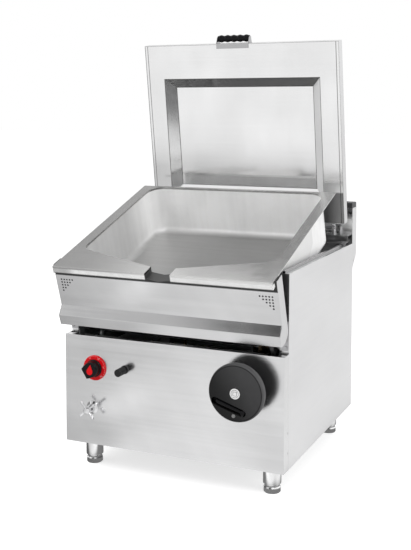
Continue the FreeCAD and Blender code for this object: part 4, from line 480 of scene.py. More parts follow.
@dataclass(frozen=True)
class ApronSteel(BrushedSteel):
    """Apron sheet with painted shade behind its face, inside its vent holes and along its gap with the
    rim.
    """

    face_back: float = -20.9
    gap_height: float = 170.5
    painted_shade_depth: float = 0.96

    def shares(self, tree: Tree) -> tuple[Any, Any]:
        """Paint shade on the back of the sheet and a shadow line in the gap under the rim.

        Args:
            tree: Tree of the material.

        Returns:
            Share of the sheet's own tone that is left, and how metallic it is there.
        """
        back, height = tree.along(PIVOT, PAN_BACK), tree.along(PIVOT, PAN_UP)
        # Painted shade behind the face and in the vent holes, and a painted shadow line under the rim's
        # fold.
        inside = back.eased((self.face_back + 0.7) * MM, (self.face_back + 1.1) * MM)
        gap = height.eased(self.gap_height * MM, (self.gap_height + 4.0) * MM)
        left = 1.0 - self.painted_shade_depth * inside.at_least(gap)
        return left, self.metal(left)


@dataclass(frozen=True)
class LidSteel(BrushedSteel):
    """Lid sheet, bright, with painted shade lines along the folds around the dish and beside the rolled
    edge.

    The dish has four slopes: a painted dark reflection on the top one, and a pale painted reflection on
    the right one.
    """

    half: float = 395.0
    front: float = 27.0
    dish_half: float = 318.0
    dish_front: float = 159.0
    dish_back: float = 623.0
    slope: float = 36.0
    edge: float = 12.0
    fold_line_shade: float = 0.74
    mitre_line_shade: float = 0.3
    top_slope_reflection: float = 0.72
    low_margin_reflection: float = 0.4
    corner_reflection: float = 0.76
    pale_slope_reflection: float = 0.85
    border_fade: tuple[float, float] = (-0.0030, -0.0018)
    right_fade: tuple[float, float] = (-0.01, 0.01)
    low_end: float = 0.03
    corner_behind: tuple[float, float] = (-0.034, -0.026)
    corner_right: tuple[float, float] = (0.300, 0.318)

    def shares(self, tree: Tree) -> tuple[Any, Any]:
        """Paint shade lines on the folds, and painted reflections on the slopes and lower margin of the
        dish.

        Args:
            tree: Tree of the material.

        Returns:
            Share of the sheet's own tone that is left, and how metallic it is there.
        """
        sideways = tree.along(PIVOT, ACROSS)
        aside = sideways.size()
        deep = tree.along(LID_TURN @ at(0.0, 0.0, 0.0), LID_TURN.to_3x3() @ Vector((0.0, 1.0, 0.0)))
        across = aside - self.dish_half * MM
        ahead = self.dish_front * MM - deep
        behind = deep - self.dish_back * MM
        ring = across.at_least(ahead).at_least(behind)
        foot = -self.slope * MM
        # Painted shade lines along the dish's mitred corners, its folds, the rolled edge and the border
        # seam.
        mitre = self.fold(across - ahead) * ring.band(foot, foot + MM, -MM, 0.0)
        border = (aside - self.half * MM).at_least(self.front * MM - deep)
        lines = self.fold(ring).at_least(self.fold(ring, -self.slope))
        seams = self.fold(aside - self.half * MM, -self.edge).at_least(border.eased(*self.border_fade))
        # Painted dark reflection on the top slope; the right slope is made less metallic so that it
        # shows pale, a painted reflection.
        top = ahead.band(foot, foot + MM, -MM, 0.0) * (across - ahead).below(-MM, MM)
        pale = across.band(foot, foot + MM, -MM, 0.0)
        pale = pale * (across - ahead.at_least(behind)).eased(-MM, MM)
        pale = pale * sideways.eased(*self.right_fade)
        left = (1.0 - self.fold_line_shade * lines.at_least(seams)) * (1.0 - self.mitre_line_shade * mitre)
        left = left * (1.0 - self.top_slope_reflection * top)
        # Painted dark reflections on the lid's bottom margin and its lower right corner.
        low = self.low_margin_reflection * behind.eased(foot, self.low_end)
        corner = behind.eased(*self.corner_behind) * sideways.eased(*self.corner_right)
        corner = self.corner_reflection * corner
        metal = self.metal(left) * (1.0 - self.pale_slope_reflection * pale)
        return left * (1.0 - low.at_least(corner)), metal

    @staticmethod
    def fold(distance: Sock, place: float = 0.0) -> Sock:
        """A line 3 mm wide where a distance passes a place given in millimetres."""
        return distance.line(place * MM, 0.0007, 0.0019)


@dataclass(frozen=True)
class PanSteel(Finish):
    """Blasted pan: pale walls with run marks, duller floor, brushed rim, dark pouring notch; painted
    light and shade.
    """

    floor_tone: tuple[float, float, float] = (0.38, 0.379, 0.377)
    floor_height: float = 22.0
    rim_tone: tuple[float, float, float] = (0.62, 0.618, 0.613)
    rim_height: float = 204.0
    notch_tone: tuple[float, float, float] = (0.045, 0.045, 0.045)
    notch_half: float = 46.0
    notch_back: float = 24.0
    wall_shade_depth: float = 0.42
    floor_highlight: float = 0.55
    rim_light_rise: float = 0.50
    fold_shade_depth: float = 0.85
    run_stretch: tuple[float, float, float] = (34.0, 34.0, 3.0)
    swirl_stretch: tuple[float, float, float] = (3.0, 60.0, 3.0)
    brush_stretch: tuple[float, float, float] = (4.0, 260.0, 260.0)
    blast_scale: float = 1400.0
    blast_depth: float = 1.6e-5
    left_wall: tuple[float, float] = (-0.345, -0.30)
    back_wall: tuple[float, float] = (0.40, 0.60)
    floor_fade: tuple[float, float] = (-0.36, -0.02)
    rim_fade: tuple[float, float] = (-0.30, 0.12)
    fold_back: tuple[float, float] = (-0.0392, -0.0386)
    fold_height: tuple[float, float] = (0.1905, 0.1935)

    def surface(self, tree: Tree) -> Sock:
        """Build the shader.

        Args:
            tree: Tree of the material.

        Returns:
            The shader's output.
        """
        place, level = tree.place(), tree.turned_place(TILT)
        sideways = tree.along(PIVOT, ACROSS)
        height, back = tree.along(PIVOT, PAN_UP), tree.along(PIVOT, PAN_BACK)
        floor = height.below((self.floor_height + 2.0) * MM, (self.floor_height + 20.0) * MM)
        rim = height.eased(self.rim_height * MM, (self.rim_height + 5.0) * MM)
        inside = sideways.size().below((self.notch_half - 1.0) * MM, self.notch_half * MM)
        inside = inside * height.below((self.rim_height + 8.3) * MM, (self.rim_height + 8.9) * MM)
        notch = inside * back.below((self.notch_back - 1.0) * MM, self.notch_back * MM)
        runs = tree.noise(tree.stretch(level, self.run_stretch), 1.0, 3.0) - 0.5
        cloud = tree.noise(place, 5.0, 5.0, 0.6) - 0.5
        swirl = tree.noise(tree.stretch(level, self.swirl_stretch), 1.0, 3.0) - 0.5
        brushed = tree.noise(tree.stretch(level, self.brush_stretch), 1.0, 3.0) - 0.5
        # Painted shade on the left wall, fading toward the back.
        wall_shade = 1.0 - self.wall_shade_depth * sideways.below(*self.left_wall) * back.below(*self.back_wall)
        wall = tree.tint(self.tone, wall_shade * (0.98 + 0.20 * runs + 0.34 * cloud))
        # Painted highlight on the left of the floor.
        pale = 1.0 + self.floor_highlight * sideways.below(*self.floor_fade)
        base = tree.tint(self.floor_tone, pale * (1.0 + 0.20 * swirl + 0.20 * cloud))
        # Painted light on the rim: darker on the left, lighter to the right.
        rim_light = 0.68 + self.rim_light_rise * sideways.eased(*self.rim_fade)
        lip = tree.tint(self.rim_tone, rim_light * (1.0 + 0.20 * brushed + 0.16 * cloud))
        colour = tree.blend(rim, tree.blend(floor, wall, base), lip)
        colour = tree.blend(notch, colour, self.notch_tone)
        rough = self.roughness + 0.12 * cloud + 0.08 * runs + 0.04 * floor - 0.16 * rim
        metal = self.metallic + (0.95 - self.metallic) * floor.at_least(rim)
        # Painted shade line along the bottom of the rim's front fold.
        fold = back.below(*self.fold_back) * height.below(*self.fold_height)
        normal = tree.bump(tree.noise(place, self.blast_scale, 2.0), self.blast_depth)
        return self.shader(tree, tree.tint(colour, 1.0 - self.fold_shade_depth * fold), rough, normal, metal)


@dataclass(frozen=True)
class TurnedSteel(Finish):
    """Turned or ground metal with fine rings and small tone changes."""

    metallic: float = 1.0
    ring: tuple[float, float, float] = (900.0, 900.0, 900.0)

    def surface(self, tree: Tree) -> Sock:
        """Build the shader.

        Args:
            tree: Tree of the material.

        Returns:
            The shader's output.
        """
        place = tree.place()
        rings = tree.noise(tree.stretch(place, self.ring), 1.0, 2.0)
        cloud = tree.noise(place, 40.0, 3.0) - 0.5
        colour = tree.tint(self.tone, 1.0 + self.mottle * cloud + 0.05 * (rings - 0.5))
        rough = self.roughness + 0.7 * self.mottle * cloud + 0.04 * (rings - 0.5)
        return self.shader(tree, colour, rough, tree.bump(rings, 1.2e-5))


@dataclass(frozen=True)
class WheelPlastic(Finish):
    """Handwheel's black plastic: painted light toward its upper right, and a fine groove inside its
    edge as a painted shade line.
    """

    middle: tuple[float, float, float] = (266.5, 0.0, 359.0)
    groove: float = 87.0
    groove_fade: tuple[float, float] = (0.0006, 0.0018)
    specular: float = 0.14

    def surface(self, tree: Tree) -> Sock:
        """Build the shader.

        Args:
            tree: Tree of the material.

        Returns:
            The shader's output.
        """
        place = tree.place()
        across, rise, reach = tree.facing(self.middle)
        # Painted shade line for the groove, a painted highlight on the edge beyond it, and painted
        # light toward the upper right.
        line = reach.line(self.groove * MM, *self.groove_fade)
        outer = reach.eased((self.groove + 1.0) * MM, (self.groove + 4.0) * MM)
        painted_light = (across + 0.7 * rise).eased(-0.09, 0.09)
        cloud = tree.noise(place, 30.0, 4.0, 0.6) - 0.5
        fine = tree.noise(place, self.grit_scale, 2.0)
        shade = (0.30 + 1.2 * painted_light) * (1.0 + self.mottle * cloud + 0.5 * outer) * (1.0 - 0.8 * line)
        rough = self.roughness + 0.1 * cloud + 0.06 * outer
        return self.shader(tree, tree.tint(self.tone, shade), rough, tree.bump(fine, self.grit))


@dataclass(frozen=True)
class CapSteel(TurnedSteel):
    """Satin hub cap with a stamped ring and a stamped square in its middle."""

    middle: tuple[float, float, float] = (266.5, 0.0, 359.0)
    ring_radius: float = 12.2
    square: float = 6.2
    stamp_fade: tuple[float, float] = (0.0004, 0.0011)

    def surface(self, tree: Tree) -> Sock:
        """Build the shader.

        Args:
            tree: Tree of the material.

        Returns:
            The shader's output.
        """
        across, rise, reach = tree.facing(self.middle)
        ring = reach.line(self.ring_radius * MM, *self.stamp_fade)
        square = across.size().at_least(rise.size()).line(self.square * MM, *self.stamp_fade)
        stamp = ring.at_least(square)
        cloud = tree.noise(tree.place(), 60.0, 3.0) - 0.5
        colour = tree.tint(self.tone, (1.0 - 0.75 * stamp) * (1.0 + 0.2 * cloud))
        return self.shader(tree, colour, self.roughness + 0.15 * cloud, tree.bump(1.0 - stamp, 2.0e-4))


@dataclass(frozen=True)
class ZincSheet(Finish):
    """Galvanised sheet with its spangle."""

    metallic: float = 1.0
    spangle: float = 70.0
    warp: float = 0.01

    def surface(self, tree: Tree) -> Sock:
        """Build the shader.

        Args:
            tree: Tree of the material.

        Returns:
            The shader's output.
        """
        place = tree.place()
        shift = tree.tint([self.warp] * 3, tree.noise(place, 30.0))
        inputs = {"Vector": tree.vector_math("ADD", place, shift), "Scale": self.spangle}
        cells = tree.node("ShaderNodeTexVoronoi", None, inputs, "Color")
        bright = tree.node("ShaderNodeSeparateColor", None, {"Color": cells}, 0)
        cloud = tree.noise(place, 6.0, 3.0) - 0.5
        colour = tree.tint(self.tone, 0.9 + 0.2 * bright + 0.1 * cloud)
        rough = self.roughness + 0.14 * (bright - 0.5) + 0.1 * cloud
        return self.shader(tree, colour, rough, tree.bump(bright, 4.0e-6))


FRONT_STEEL = BrushedSteel("brushed_front", (0.74, 0.74, 0.745), 0.20, depth=7.0e-5, streak=0.12,
                           smudge=0.10)
SIDE_STEEL = BrushedSteel("brushed_side", (0.80, 0.80, 0.805), 0.30, grain=Grain.ALONG_Y,
                          depth=8.0e-6, wave=0.0006)
UPRIGHT_STEEL = BrushedSteel("brushed_upright", (0.78, 0.78, 0.785), 0.26, grain=Grain.ALONG_Z)
# Brushed steel darkened as painted shade, for the ledge and the drip guides, which sit in shade.
SHADED_LEDGE_STEEL = BrushedSteel("shaded_brushed_ledge", (0.36, 0.36, 0.365), 0.22)
APRON_STEEL = ApronSteel("brushed_apron", (0.68, 0.68, 0.685), 0.20, turn=TILT, depth=6.0e-5,
                         streak=0.12, smudge=0.10)
END_STEEL = BrushedSteel("brushed_ends", (0.68, 0.68, 0.685), 0.20, turn=TILT, depth=6.0e-5)
LID_STEEL = LidSteel("bright_lid", (0.82, 0.82, 0.822), 0.12, turn=-LID_OPEN, streak=0.03,
                     smudge=0.12, depth=1.0e-5, wave=0.0016)
OUTER_STEEL = BrushedSteel("brushed_lid", (0.74, 0.74, 0.745), 0.30, turn=-LID_OPEN,
                           depth=2.0e-5, wave=0.0004)
BRACKET_STEEL = BrushedSteel("brushed_bracket", (0.46, 0.46, 0.465), 0.20)
# Brushed steel darkened as painted shade, for the cut edges of sheets.
SHADED_CUT_STEEL = BrushedSteel("shaded_cut_edge", (0.22, 0.22, 0.225), 0.30)
PAN_STEEL = PanSteel("blasted_pan", (0.98, 0.979, 0.975), 0.40, metallic=0.12)
ARM_STEEL = Finish("blasted_arm", (0.80, 0.80, 0.795), 0.42, metallic=0.22, mottle=0.12, grit=1.6e-5)
LEG_STEEL = TurnedSteel("polished_leg", (0.94, 0.94, 0.943), 0.15, ring=(60.0, 60.0, 900.0))
MACHINED = TurnedSteel("machined_shaft", (0.45, 0.45, 0.46), 0.30)
CAP_SILVER = CapSteel("satin_silver", (0.86, 0.86, 0.86), 0.30)
# Chrome darkened and strongly mottled: painted dark reflections on the tap.
SHADED_TAP_CHROME = TurnedSteel("tap_chrome", (0.72, 0.72, 0.73), 0.06, mottle=0.7)
BRASS = TurnedSteel("brass", (0.66, 0.46, 0.19), 0.27, mottle=0.12)
BRONZE = TurnedSteel("greased_bronze", (0.17, 0.13, 0.085), 0.46, mottle=0.15)
ZINC = ZincSheet("galvanised_sheet", (0.55, 0.56, 0.57), 0.36)
PRIMER = Finish("grey_primer", (0.16, 0.165, 0.17), 0.55, grit=2.0e-5)
CASTING = Finish("valve_casting", (0.50, 0.50, 0.50), 0.46, metallic=0.9, grit=6.0e-5, mottle=0.15)
DARK_METAL = Finish("dark_cap", (0.045, 0.045, 0.047), 0.42, metallic=0.35, grit=1.5e-5)
BLACK_SATIN = Finish("black_satin", (0.012, 0.012, 0.013), 0.34, specular=0.45, grit=1.6e-5)
BLACK_KNOB = Finish("black_knob", (0.006, 0.006, 0.007), 0.26, specular=0.16, grit=3.0e-6)
BLACK_GLOSS = Finish("black_gloss", (0.005, 0.005, 0.006), 0.22, specular=0.14, grit=3.0e-6)
BLACK_RIBBED = Finish("black_ribbed", (0.010, 0.010, 0.011), 0.30, specular=0.3, grit=6.0e-6)
WHEEL_BLACK = WheelPlastic("wheel_black", (0.038, 0.038, 0.039), 0.34, mottle=0.3, grit=1.2e-5)
RED_GLOSS = Finish("red_gloss", (0.78, 0.004, 0.010), 0.30, specular=0.18, mottle=0.03, grit=2.0e-6)
GREY_STUD = Finish("grey_stud", (0.20, 0.20, 0.20), 0.38, grit=4.0e-6)
WHITE_MARK = Finish("white_mark", (0.85, 0.85, 0.83), 0.45, mottle=0.02)


INPUT_KINDS = {float: "Float", int: "Int", tuple: "Vector"}


class Recipe:
    """A Geometry Nodes tree with named sizes, which grows into a plain mesh."""

    def __init__(self, name: str, sizes: dict[str, Any]) -> None:
        """Start a tree with its way in and out.

        Args:
            name: Name of the node group.
            sizes: Name and value of each size.
        """
        self.group = bpy.data.node_groups.new(name, "GeometryNodeTree")
        self.tree = Tree(self.group)
        self.values = sizes
        self.group.interface.new_socket("Geometry", in_out="OUTPUT", socket_type="NodeSocketGeometry")
        self.entry = self.tree.node("NodeGroupInput")
        self.places = self.input("Places", "Geometry")
        self.sizes = [self.input(key, INPUT_KINDS[type(value)]) for key, value in sizes.items()]

    def input(self, name: str, kind: str) -> Sock:
        """Add a named input: Float, Int, Vector, Material or Geometry."""
        made = self.group.interface.new_socket(name, in_out="INPUT", socket_type="NodeSocket" + kind)
        return self.entry.of(made.identifier)

    def instances(self, points: Sock, shape: Sock, turn: Any = (0.0, 0.0, 0.0)) -> Sock:
        """Put a turned copy of a shape on each point."""
        inputs = {"Points": points, "Instance": shape, "Rotation": turn}
        return self.tree.node("GeometryNodeInstanceOnPoints", None, inputs)

    def moved(self, shape: Sock, shift: Any = (0.0, 0.0, 0.0), turn: Any = (0.0, 0.0, 0.0),
              scale: Any = (1.0, 1.0, 1.0)) -> Sock:
        """Scale, turn and move a shape."""
        inputs = {"Geometry": shape, "Translation": shift, "Rotation": turn, "Scale": scale}
        return self.tree.node("GeometryNodeTransform", None, inputs)

    def circle(self, corners: int, radius: Sock) -> Sock:
        """A circle around the origin."""
        inputs = {"Resolution": corners, "Radius": radius}
        return self.tree.node("GeometryNodeCurvePrimitiveCircle", None, inputs)

    def swept(self, path: Sock, profile: Sock, caps: bool = False) -> Sock:
        """A profile carried along a path."""
        inputs = {"Curve": path, "Profile Curve": profile, "Fill Caps": caps}
        return self.tree.node("GeometryNodeCurveToMesh", None, inputs)

    def end(self, shape: Sock) -> None:
        """Realize the instances, set the material and close the tree.

        Args:
            shape: What the tree gives.
        """
        whole = self.tree.node("GeometryNodeRealizeInstances", None, {"Geometry": shape})
        smooth = self.tree.node("GeometryNodeSetShadeSmooth", None, {"Geometry": whole})
        inputs = {"Geometry": smooth, "Material": self.input("Finish", "Material")}
        dressed = self.tree.node("GeometryNodeSetMaterial", None, inputs)
        self.tree.node("NodeGroupOutput", None, {"Geometry": dressed})

    def grow(self, finish: Finish, points: Sequence[Vector] = (),
             changes: dict[str, Any] | None = None) -> bpy.types.Mesh:
        """Turn the tree into a plain mesh.

        Args:
            finish: What the mesh is made of.
            points: Places that the tree reads, if it does.
            changes: Sizes that differ this time.

        Returns:
            The mesh.
        """
        seed = bpy.data.meshes.new(self.group.name)
        seed.from_pydata([tuple(point) for point in points], [], [])
        holder = placed(self.group.name, seed)
        modifier = holder.modifiers.new(self.group.name, "NODES")
        modifier.node_group = self.group
        values = {**self.values, **(changes or {}), "Finish": finish.material()}
        for item in self.group.interface.items_tree:
            if item.in_out == "INPUT" and item.name in values:
                modifier[item.identifier] = values[item.name]
        return plain_mesh(holder)

    def grow_at(self, finish: Finish, *moves: Matrix) -> bpy.types.Mesh:
        """Grow the tree once for each move.

        Args:
            finish: What the mesh is made of.
            moves: Where each copy goes.

        Returns:
            One mesh of all the copies.
        """
        meshes = []
        for move in moves:
            meshes.append(self.grow(finish))
            meshes[-1].transform(move)
        return joined(meshes)


def plain_mesh(holder: bpy.types.Object) -> bpy.types.Mesh:
    """Turn an object with modifiers, or a text, into a plain mesh and remove the object.

    Args:
        holder: The object.

    Returns:
        Its evaluated mesh.
    """
    bpy.context.view_layer.update()
    graph = bpy.context.evaluated_depsgraph_get()
    mesh = bpy.data.meshes.new_from_object(holder.evaluated_get(graph))
    mesh.transform(holder.matrix_world)
    bpy.data.objects.remove(holder)
    return mesh


def joined(meshes: Sequence[bpy.types.Mesh]) -> bpy.types.Mesh:
    """Put several meshes of one finish into one.

    Args:
        meshes: The meshes.

    Returns:
        One mesh with the first one's material.
    """
    if len(meshes) == 1:
        return meshes[0]
    work = bmesh.new()
    for mesh in meshes:
        work.from_mesh(mesh)
    result = bpy.data.meshes.new(meshes[0].name)
    work.to_mesh(result)
    work.free()
    for material in meshes[0].materials:
        result.materials.append(material)
    return result


@dataclass(frozen=True)
class Edging:
    """How far a sheet's folds and cut edges are rounded, in millimetres."""

    fold: float = 0.7
    cut: float = 0.0
    fold_width: float = 3.6
    fold_length: float = 12.0
    shortest: float = 1.7
    corner: float = 30.0

    def soften(self, work: bmesh.types.BMesh) -> None:
        """Round the folds first, then the cut edges.

        Args:
            work: The closed mesh.
        """
        for offset, chosen in ((self.fold, self.is_fold), (self.cut, self.is_cut)):
            edges = [edge for edge in work.edges if chosen(edge)] if offset else []
            if edges:
                bmesh.ops.bevel(work, geom=edges, offset=offset * MM, offset_type="OFFSET",
                                segments=2, profile=0.5, affect="EDGES", clamp_overlap=True)

    def is_fold(self, edge: bmesh.types.BMEdge) -> bool:
        """Tell a long outer corner between two broad faces.

        Args:
            edge: An edge of the mesh.

        Returns:
            True for such an edge.
        """
        length = edge.calc_length()
        if not self.is_cut(edge) or length < self.fold_length * MM:
            return False
        return min(face.calc_area() for face in edge.link_faces) / length > self.fold_width * MM

    def is_cut(self, edge: bmesh.types.BMEdge) -> bool:
        """Tell a sharp outward edge that is long enough to round.

        Args:
            edge: An edge of the mesh.

        Returns:
            True for such an edge.
        """
        if len(edge.link_faces) != 2 or edge.calc_length() < self.shortest * MM:
            return False
        return edge.calc_face_angle_signed(0.0) > math.radians(self.corner)


@dataclass
class Assembly:
    """Shared work of the sub-assemblies: dressing CAD nodes and adding pieces."""

    made: list[str] = field(default_factory=list)

    def build(self) -> None:
        """Make and dress every piece."""
        raise NotImplementedError

    def note(self, name: str, faces: int) -> None:
        """Report a piece."""
        self.made.append(name)
        LOG.info("%s: %s, %d faces", type(self).__name__, name, faces)

    def keep(self, finish: Finish, *nodes: str) -> None:
        """Give CAD nodes whose shape is right a better material.

        Args:
            finish: The finish.
            nodes: Names of the nodes.
        """
        for name in nodes:
            mesh = frame["nodes"][name].data
            for index in range(len(mesh.materials)):
                mesh.materials[index] = finish.material()
            self.note(name, len(mesh.polygons))

    def dressed(self, node: str, finish: Finish, edging: Edging | None = Edging(),
                smooth: float = 35.0, cut_width: float = 0.0) -> bpy.types.Object:
        """Replace a CAD node by a copy with rounded folds and edges.

        Args:
            node: Name of the node.
            finish: What it is made of.
            edging: How its edges are rounded, or None to leave them.
            smooth: Angle in degrees up to which faces are shaded as one surface.
            cut_width: Widest face in millimetres that is a sheet's cut edge, darkened as painted shade.

        Returns:
            The new piece.
        """
        source = frame["nodes"][node]
        work = bmesh.new()
        work.from_mesh(source.data)
        bmesh.ops.remove_doubles(work, verts=work.verts, dist=MERGE)
        bmesh.ops.dissolve_limit(work, angle_limit=FLAT, verts=work.verts, edges=work.edges)
        for face in work.faces:
            longest = max(edge.calc_length() for edge in face.edges)
            face.material_index = int(face.calc_area() < cut_width * MM * longest)
        if edging is not None:
            edging.soften(work)
        mesh = bpy.data.meshes.new(node + "_dressed")
        work.to_mesh(mesh)
        work.free()
        mesh.materials.append(finish.material())
        if cut_width:
            mesh.materials.append(SHADED_CUT_STEEL.material())
        slot = source.data.materials[0].name
        return self.piece(node + "_dressed", mesh, source["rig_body"], slot, [node], smooth)

    def piece(self, name: str, mesh: bpy.types.Mesh, body: str, slot: str,
              stands_for: Sequence[str] = (), smooth: float = 35.0) -> bpy.types.Object:
        """Add a finished mesh as a piece of the object.

        Args:
            name: Name of the piece.
            mesh: Its mesh, in the frame's own place.
            body: Body it rides on.
            slot: Material slot of the record; not used.
            stands_for: CAD nodes that it replaces.
            smooth: Angle in degrees up to which faces are shaded as one surface.

        Returns:
            The piece.
        """
        stale = mesh.attributes.get("custom_normal")
        if stale is not None:
            mesh.attributes.remove(stale)
        mesh.polygons.foreach_set("use_smooth", [True] * len(mesh.polygons))
        mesh.set_sharp_from_angle(angle=math.radians(smooth))
        made = placed(name, mesh)
        weighted = made.modifiers.new("even_faces", "WEIGHTED_NORMAL")
        weighted.keep_sharp = True
        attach(made, body)
        if stands_for:
            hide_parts(*stands_for)
        self.note(name, len(mesh.polygons))
        return made


@dataclass
class Cabinet(Assembly):
    """Front, side and rear panels, drip guides and rivets."""

    rivet_radius: float = 2.7
    rivet_depth: float = 1.2
    rivet_sunk: float = 0.45
    pin_radius: float = 1.1
    side: float = 400.0
    rivet_places: tuple[tuple[float, float], ...] = ((37.0, 150.0), (37.0, 215.0), (806.0, 656.0))

    def build(self) -> None:
        """Make and dress every piece."""
        self.dressed("front_panel", FRONT_STEEL)
        self.dressed("side_panel_right", SIDE_STEEL)
        self.dressed("side_panel_left", SIDE_STEEL)
        self.dressed("guide_strips", SHADED_LEDGE_STEEL, None)
        self.dressed("rear_panel", ZINC)
        self.keep(ZINC, "base_sheet")
        self.rivets()

    def rivets(self) -> None:
        """Blind rivets set flush in the seams: a flat head and the broken pin in its middle."""
        recipe = Recipe("blind_rivets", {
            "Radius": self.rivet_radius * MM, "Depth": self.rivet_depth * MM,
            "Pin radius": self.pin_radius * MM, "Turn": (0.0, 0.0, 0.0)})
        radius, depth, pin, turn = recipe.sizes
        head = recipe.tree.node("GeometryNodeMeshCone", None, {
            "Vertices": 28, "Radius Top": radius * 0.9, "Radius Bottom": radius, "Depth": depth})
        ball = recipe.tree.node("GeometryNodeMeshUVSphere", None,
                                {"Segments": 16, "Rings": 8, "Radius": pin})
        bead = recipe.moved(ball, (0.0, 0.0, self.rivet_depth * MM), scale=(1.0, 1.0, 0.3))
        shape = recipe.tree.node("GeometryNodeJoinGeometry", None, {"Geometry": [head, bead]})
        recipe.end(recipe.instances(recipe.places, shape, turn))
        back = self.side - self.rivet_depth - self.rivet_sunk
        meshes = []
        for sign in (1.0, -1.0):
            points = [at(sign * back, y, z) for y, z in self.rivet_places]
            meshes.append(recipe.grow(MACHINED, points, {"Turn": (0.0, sign * math.pi / 2.0, 0.0)}))
        self.piece("panel_rivets_set", joined(meshes), "cabinet", "panel_steel", ["panel_rivets"])


@dataclass
class Chassis(Assembly):
    """Welded frame, rails, leg sockets, trunnion brackets and the drive bracket."""

    def build(self) -> None:
        """Make and dress every piece."""
        self.keep(PRIMER, "side_frames", "cross_rails", "drive_bracket")
        self.keep(MACHINED, "trunnion_brackets", "bracket_bolts")
        self.keep(BRASS, "trunnion_bushes", "shaft_bushes")
        self.dressed("leg_sockets", LEG_STEEL, None)


@dataclass
class Flue(Assembly):
    """Flue column behind the lid, with its cap and the stepped ledge in front."""

    def build(self) -> None:
        """Make and dress every piece."""
        self.dressed("flue_panels", FRONT_STEEL)
        self.dressed("flue_cheeks", SIDE_STEEL, Edging(fold=0.0, cut=0.25))
        self.dressed("flue_cap", DARK_METAL)
        self.dressed("rear_ledge", SHADED_LEDGE_STEEL, cut_width=2.0)


@dataclass
class Pan(Assembly):
    """Tilting vessel with its apron, arms and toothed quadrant."""

    def build(self) -> None:
        """Make and dress every piece."""
        self.dressed("pan_vessel", PAN_STEEL, None, 40.0)
        self.dressed("pan_apron", APRON_STEEL)
        self.dressed("apron_ends", END_STEEL, None)
        self.dressed("pan_base_plate", MACHINED)
        self.dressed("pan_arms", ARM_STEEL, None)
        self.keep(MACHINED, "quadrant_gear")


@dataclass
class Lid(Assembly):
    """Lid with its dished inner skin, bracket, lobed grip, arms, hinges and springs."""

    grip_middle: tuple[float, float, float] = (-22.0, 9.0, 766.5)
    grip_half: float = 64.0
    grip_radius: float = 14.0
    lobe: float = 1.4
    bumps: int = 5
    spring_wire: float = 1.4
    spring_turns: float = 7.0
    spring_radius: float = 8.6
    spring_from: float = 306.0
    spring_to: float = 330.7

    def build(self) -> None:
        """Make and dress every piece."""
        self.dressed("lid_outer_skin", OUTER_STEEL, None, cut_width=2.4)
        self.dressed("lid_inner_skin", LID_STEEL, Edging(fold=0.0, cut=0.25), 20.0, 2.4)
        self.dressed("lid_handle_bracket", BRACKET_STEEL, cut_width=2.4)
        self.dressed("lid_arms", FRONT_STEEL)
        self.dressed("lid_hinge_blocks", FRONT_STEEL)
        self.keep(MACHINED, "lid_hinge_pins")
        self.grip()
        self.springs()

    def grip(self) -> None:
        """Grip with a row of rounded lobes."""
        recipe = Recipe("lobed_grip", {
            "Length": 2.0 * self.grip_half * MM, "Radius": self.grip_radius * MM,
            "Lobe": self.lobe * MM, "Bumps": self.bumps})
        length, radius, lobe, bumps = recipe.sizes
        tree = recipe.tree
        tube = tree.node("GeometryNodeMeshCylinder", {"fill_type": "NGON"}, {
            "Vertices": 56, "Side Segments": 110, "Fill Segments": 1,
            "Radius": radius, "Depth": length})
        position = tree.node("GeometryNodeInputPosition")
        share = tree.node("ShaderNodeSeparateXYZ", None, {"Vector": position}, "Z") / length + 0.5
        wave = ((share * bumps - 0.5) * (2.0 * math.pi)).cosine()
        waist = (radius - lobe + lobe * wave) / radius
        shaped = tree.stretch(position, tree.axes(waist, waist, 1.0))
        lobed = tree.node("GeometryNodeSetPosition", None, {"Geometry": tube, "Position": shaped})
        recipe.end(recipe.moved(lobed, turn=(0.0, math.pi / 2.0, 0.0)))
        mesh = recipe.grow_at(BLACK_GLOSS, LID_TURN @ Matrix.Translation(at(*self.grip_middle)))
        self.piece("lid_grip_lobed", mesh, "lid", "black_plastic", ["lid_grip"])

    def springs(self) -> None:
        """Balance springs wound around the hinge pins."""
        recipe = Recipe("balance_spring", {
            "Wire": self.spring_wire * MM, "Radius": self.spring_radius * MM,
            "Turns": self.spring_turns, "Length": (self.spring_to - self.spring_from) * MM})
        wire, radius, turns, length = recipe.sizes
        helix = recipe.tree.node("GeometryNodeCurveSpiral", None, {
            "Resolution": 36, "Rotations": turns, "Start Radius": radius, "End Radius": radius,
            "Height": length})
        coil = recipe.swept(helix, recipe.circle(12, wire), True)
        recipe.end(recipe.moved(coil, turn=(0.0, math.pi / 2.0, 0.0)))
        mesh = recipe.grow_at(MACHINED, *(
            Matrix.Translation(HINGE + Vector((start * MM, 0.0, 0.0)))
            for start in (self.spring_from, -self.spring_to)))
        self.piece("lid_springs_coiled", mesh, "cabinet", "machined_steel", ["lid_springs"])


@dataclass
class TiltDrive(Assembly):
    """Handwheel with its crank, worm shaft, cross shaft, worm wheel and pinion."""

    def build(self) -> None:
        """Make and dress every piece."""
        self.dressed("handwheel", WHEEL_BLACK, Edging(fold=0.0, cut=1.1, shortest=0.8), 40.0)
        self.dressed("handwheel_cap", CAP_SILVER, Edging(fold=0.0, cut=0.3, shortest=0.5))
        self.dressed("crank_grip", BLACK_GLOSS, None, 50.0)
        self.keep(GREY_STUD, "crank_stud")
        self.keep(MACHINED, "crank_pin", "worm_shaft", "cross_shaft", "pinion")
        self.keep(BRONZE, "worm_wheel")


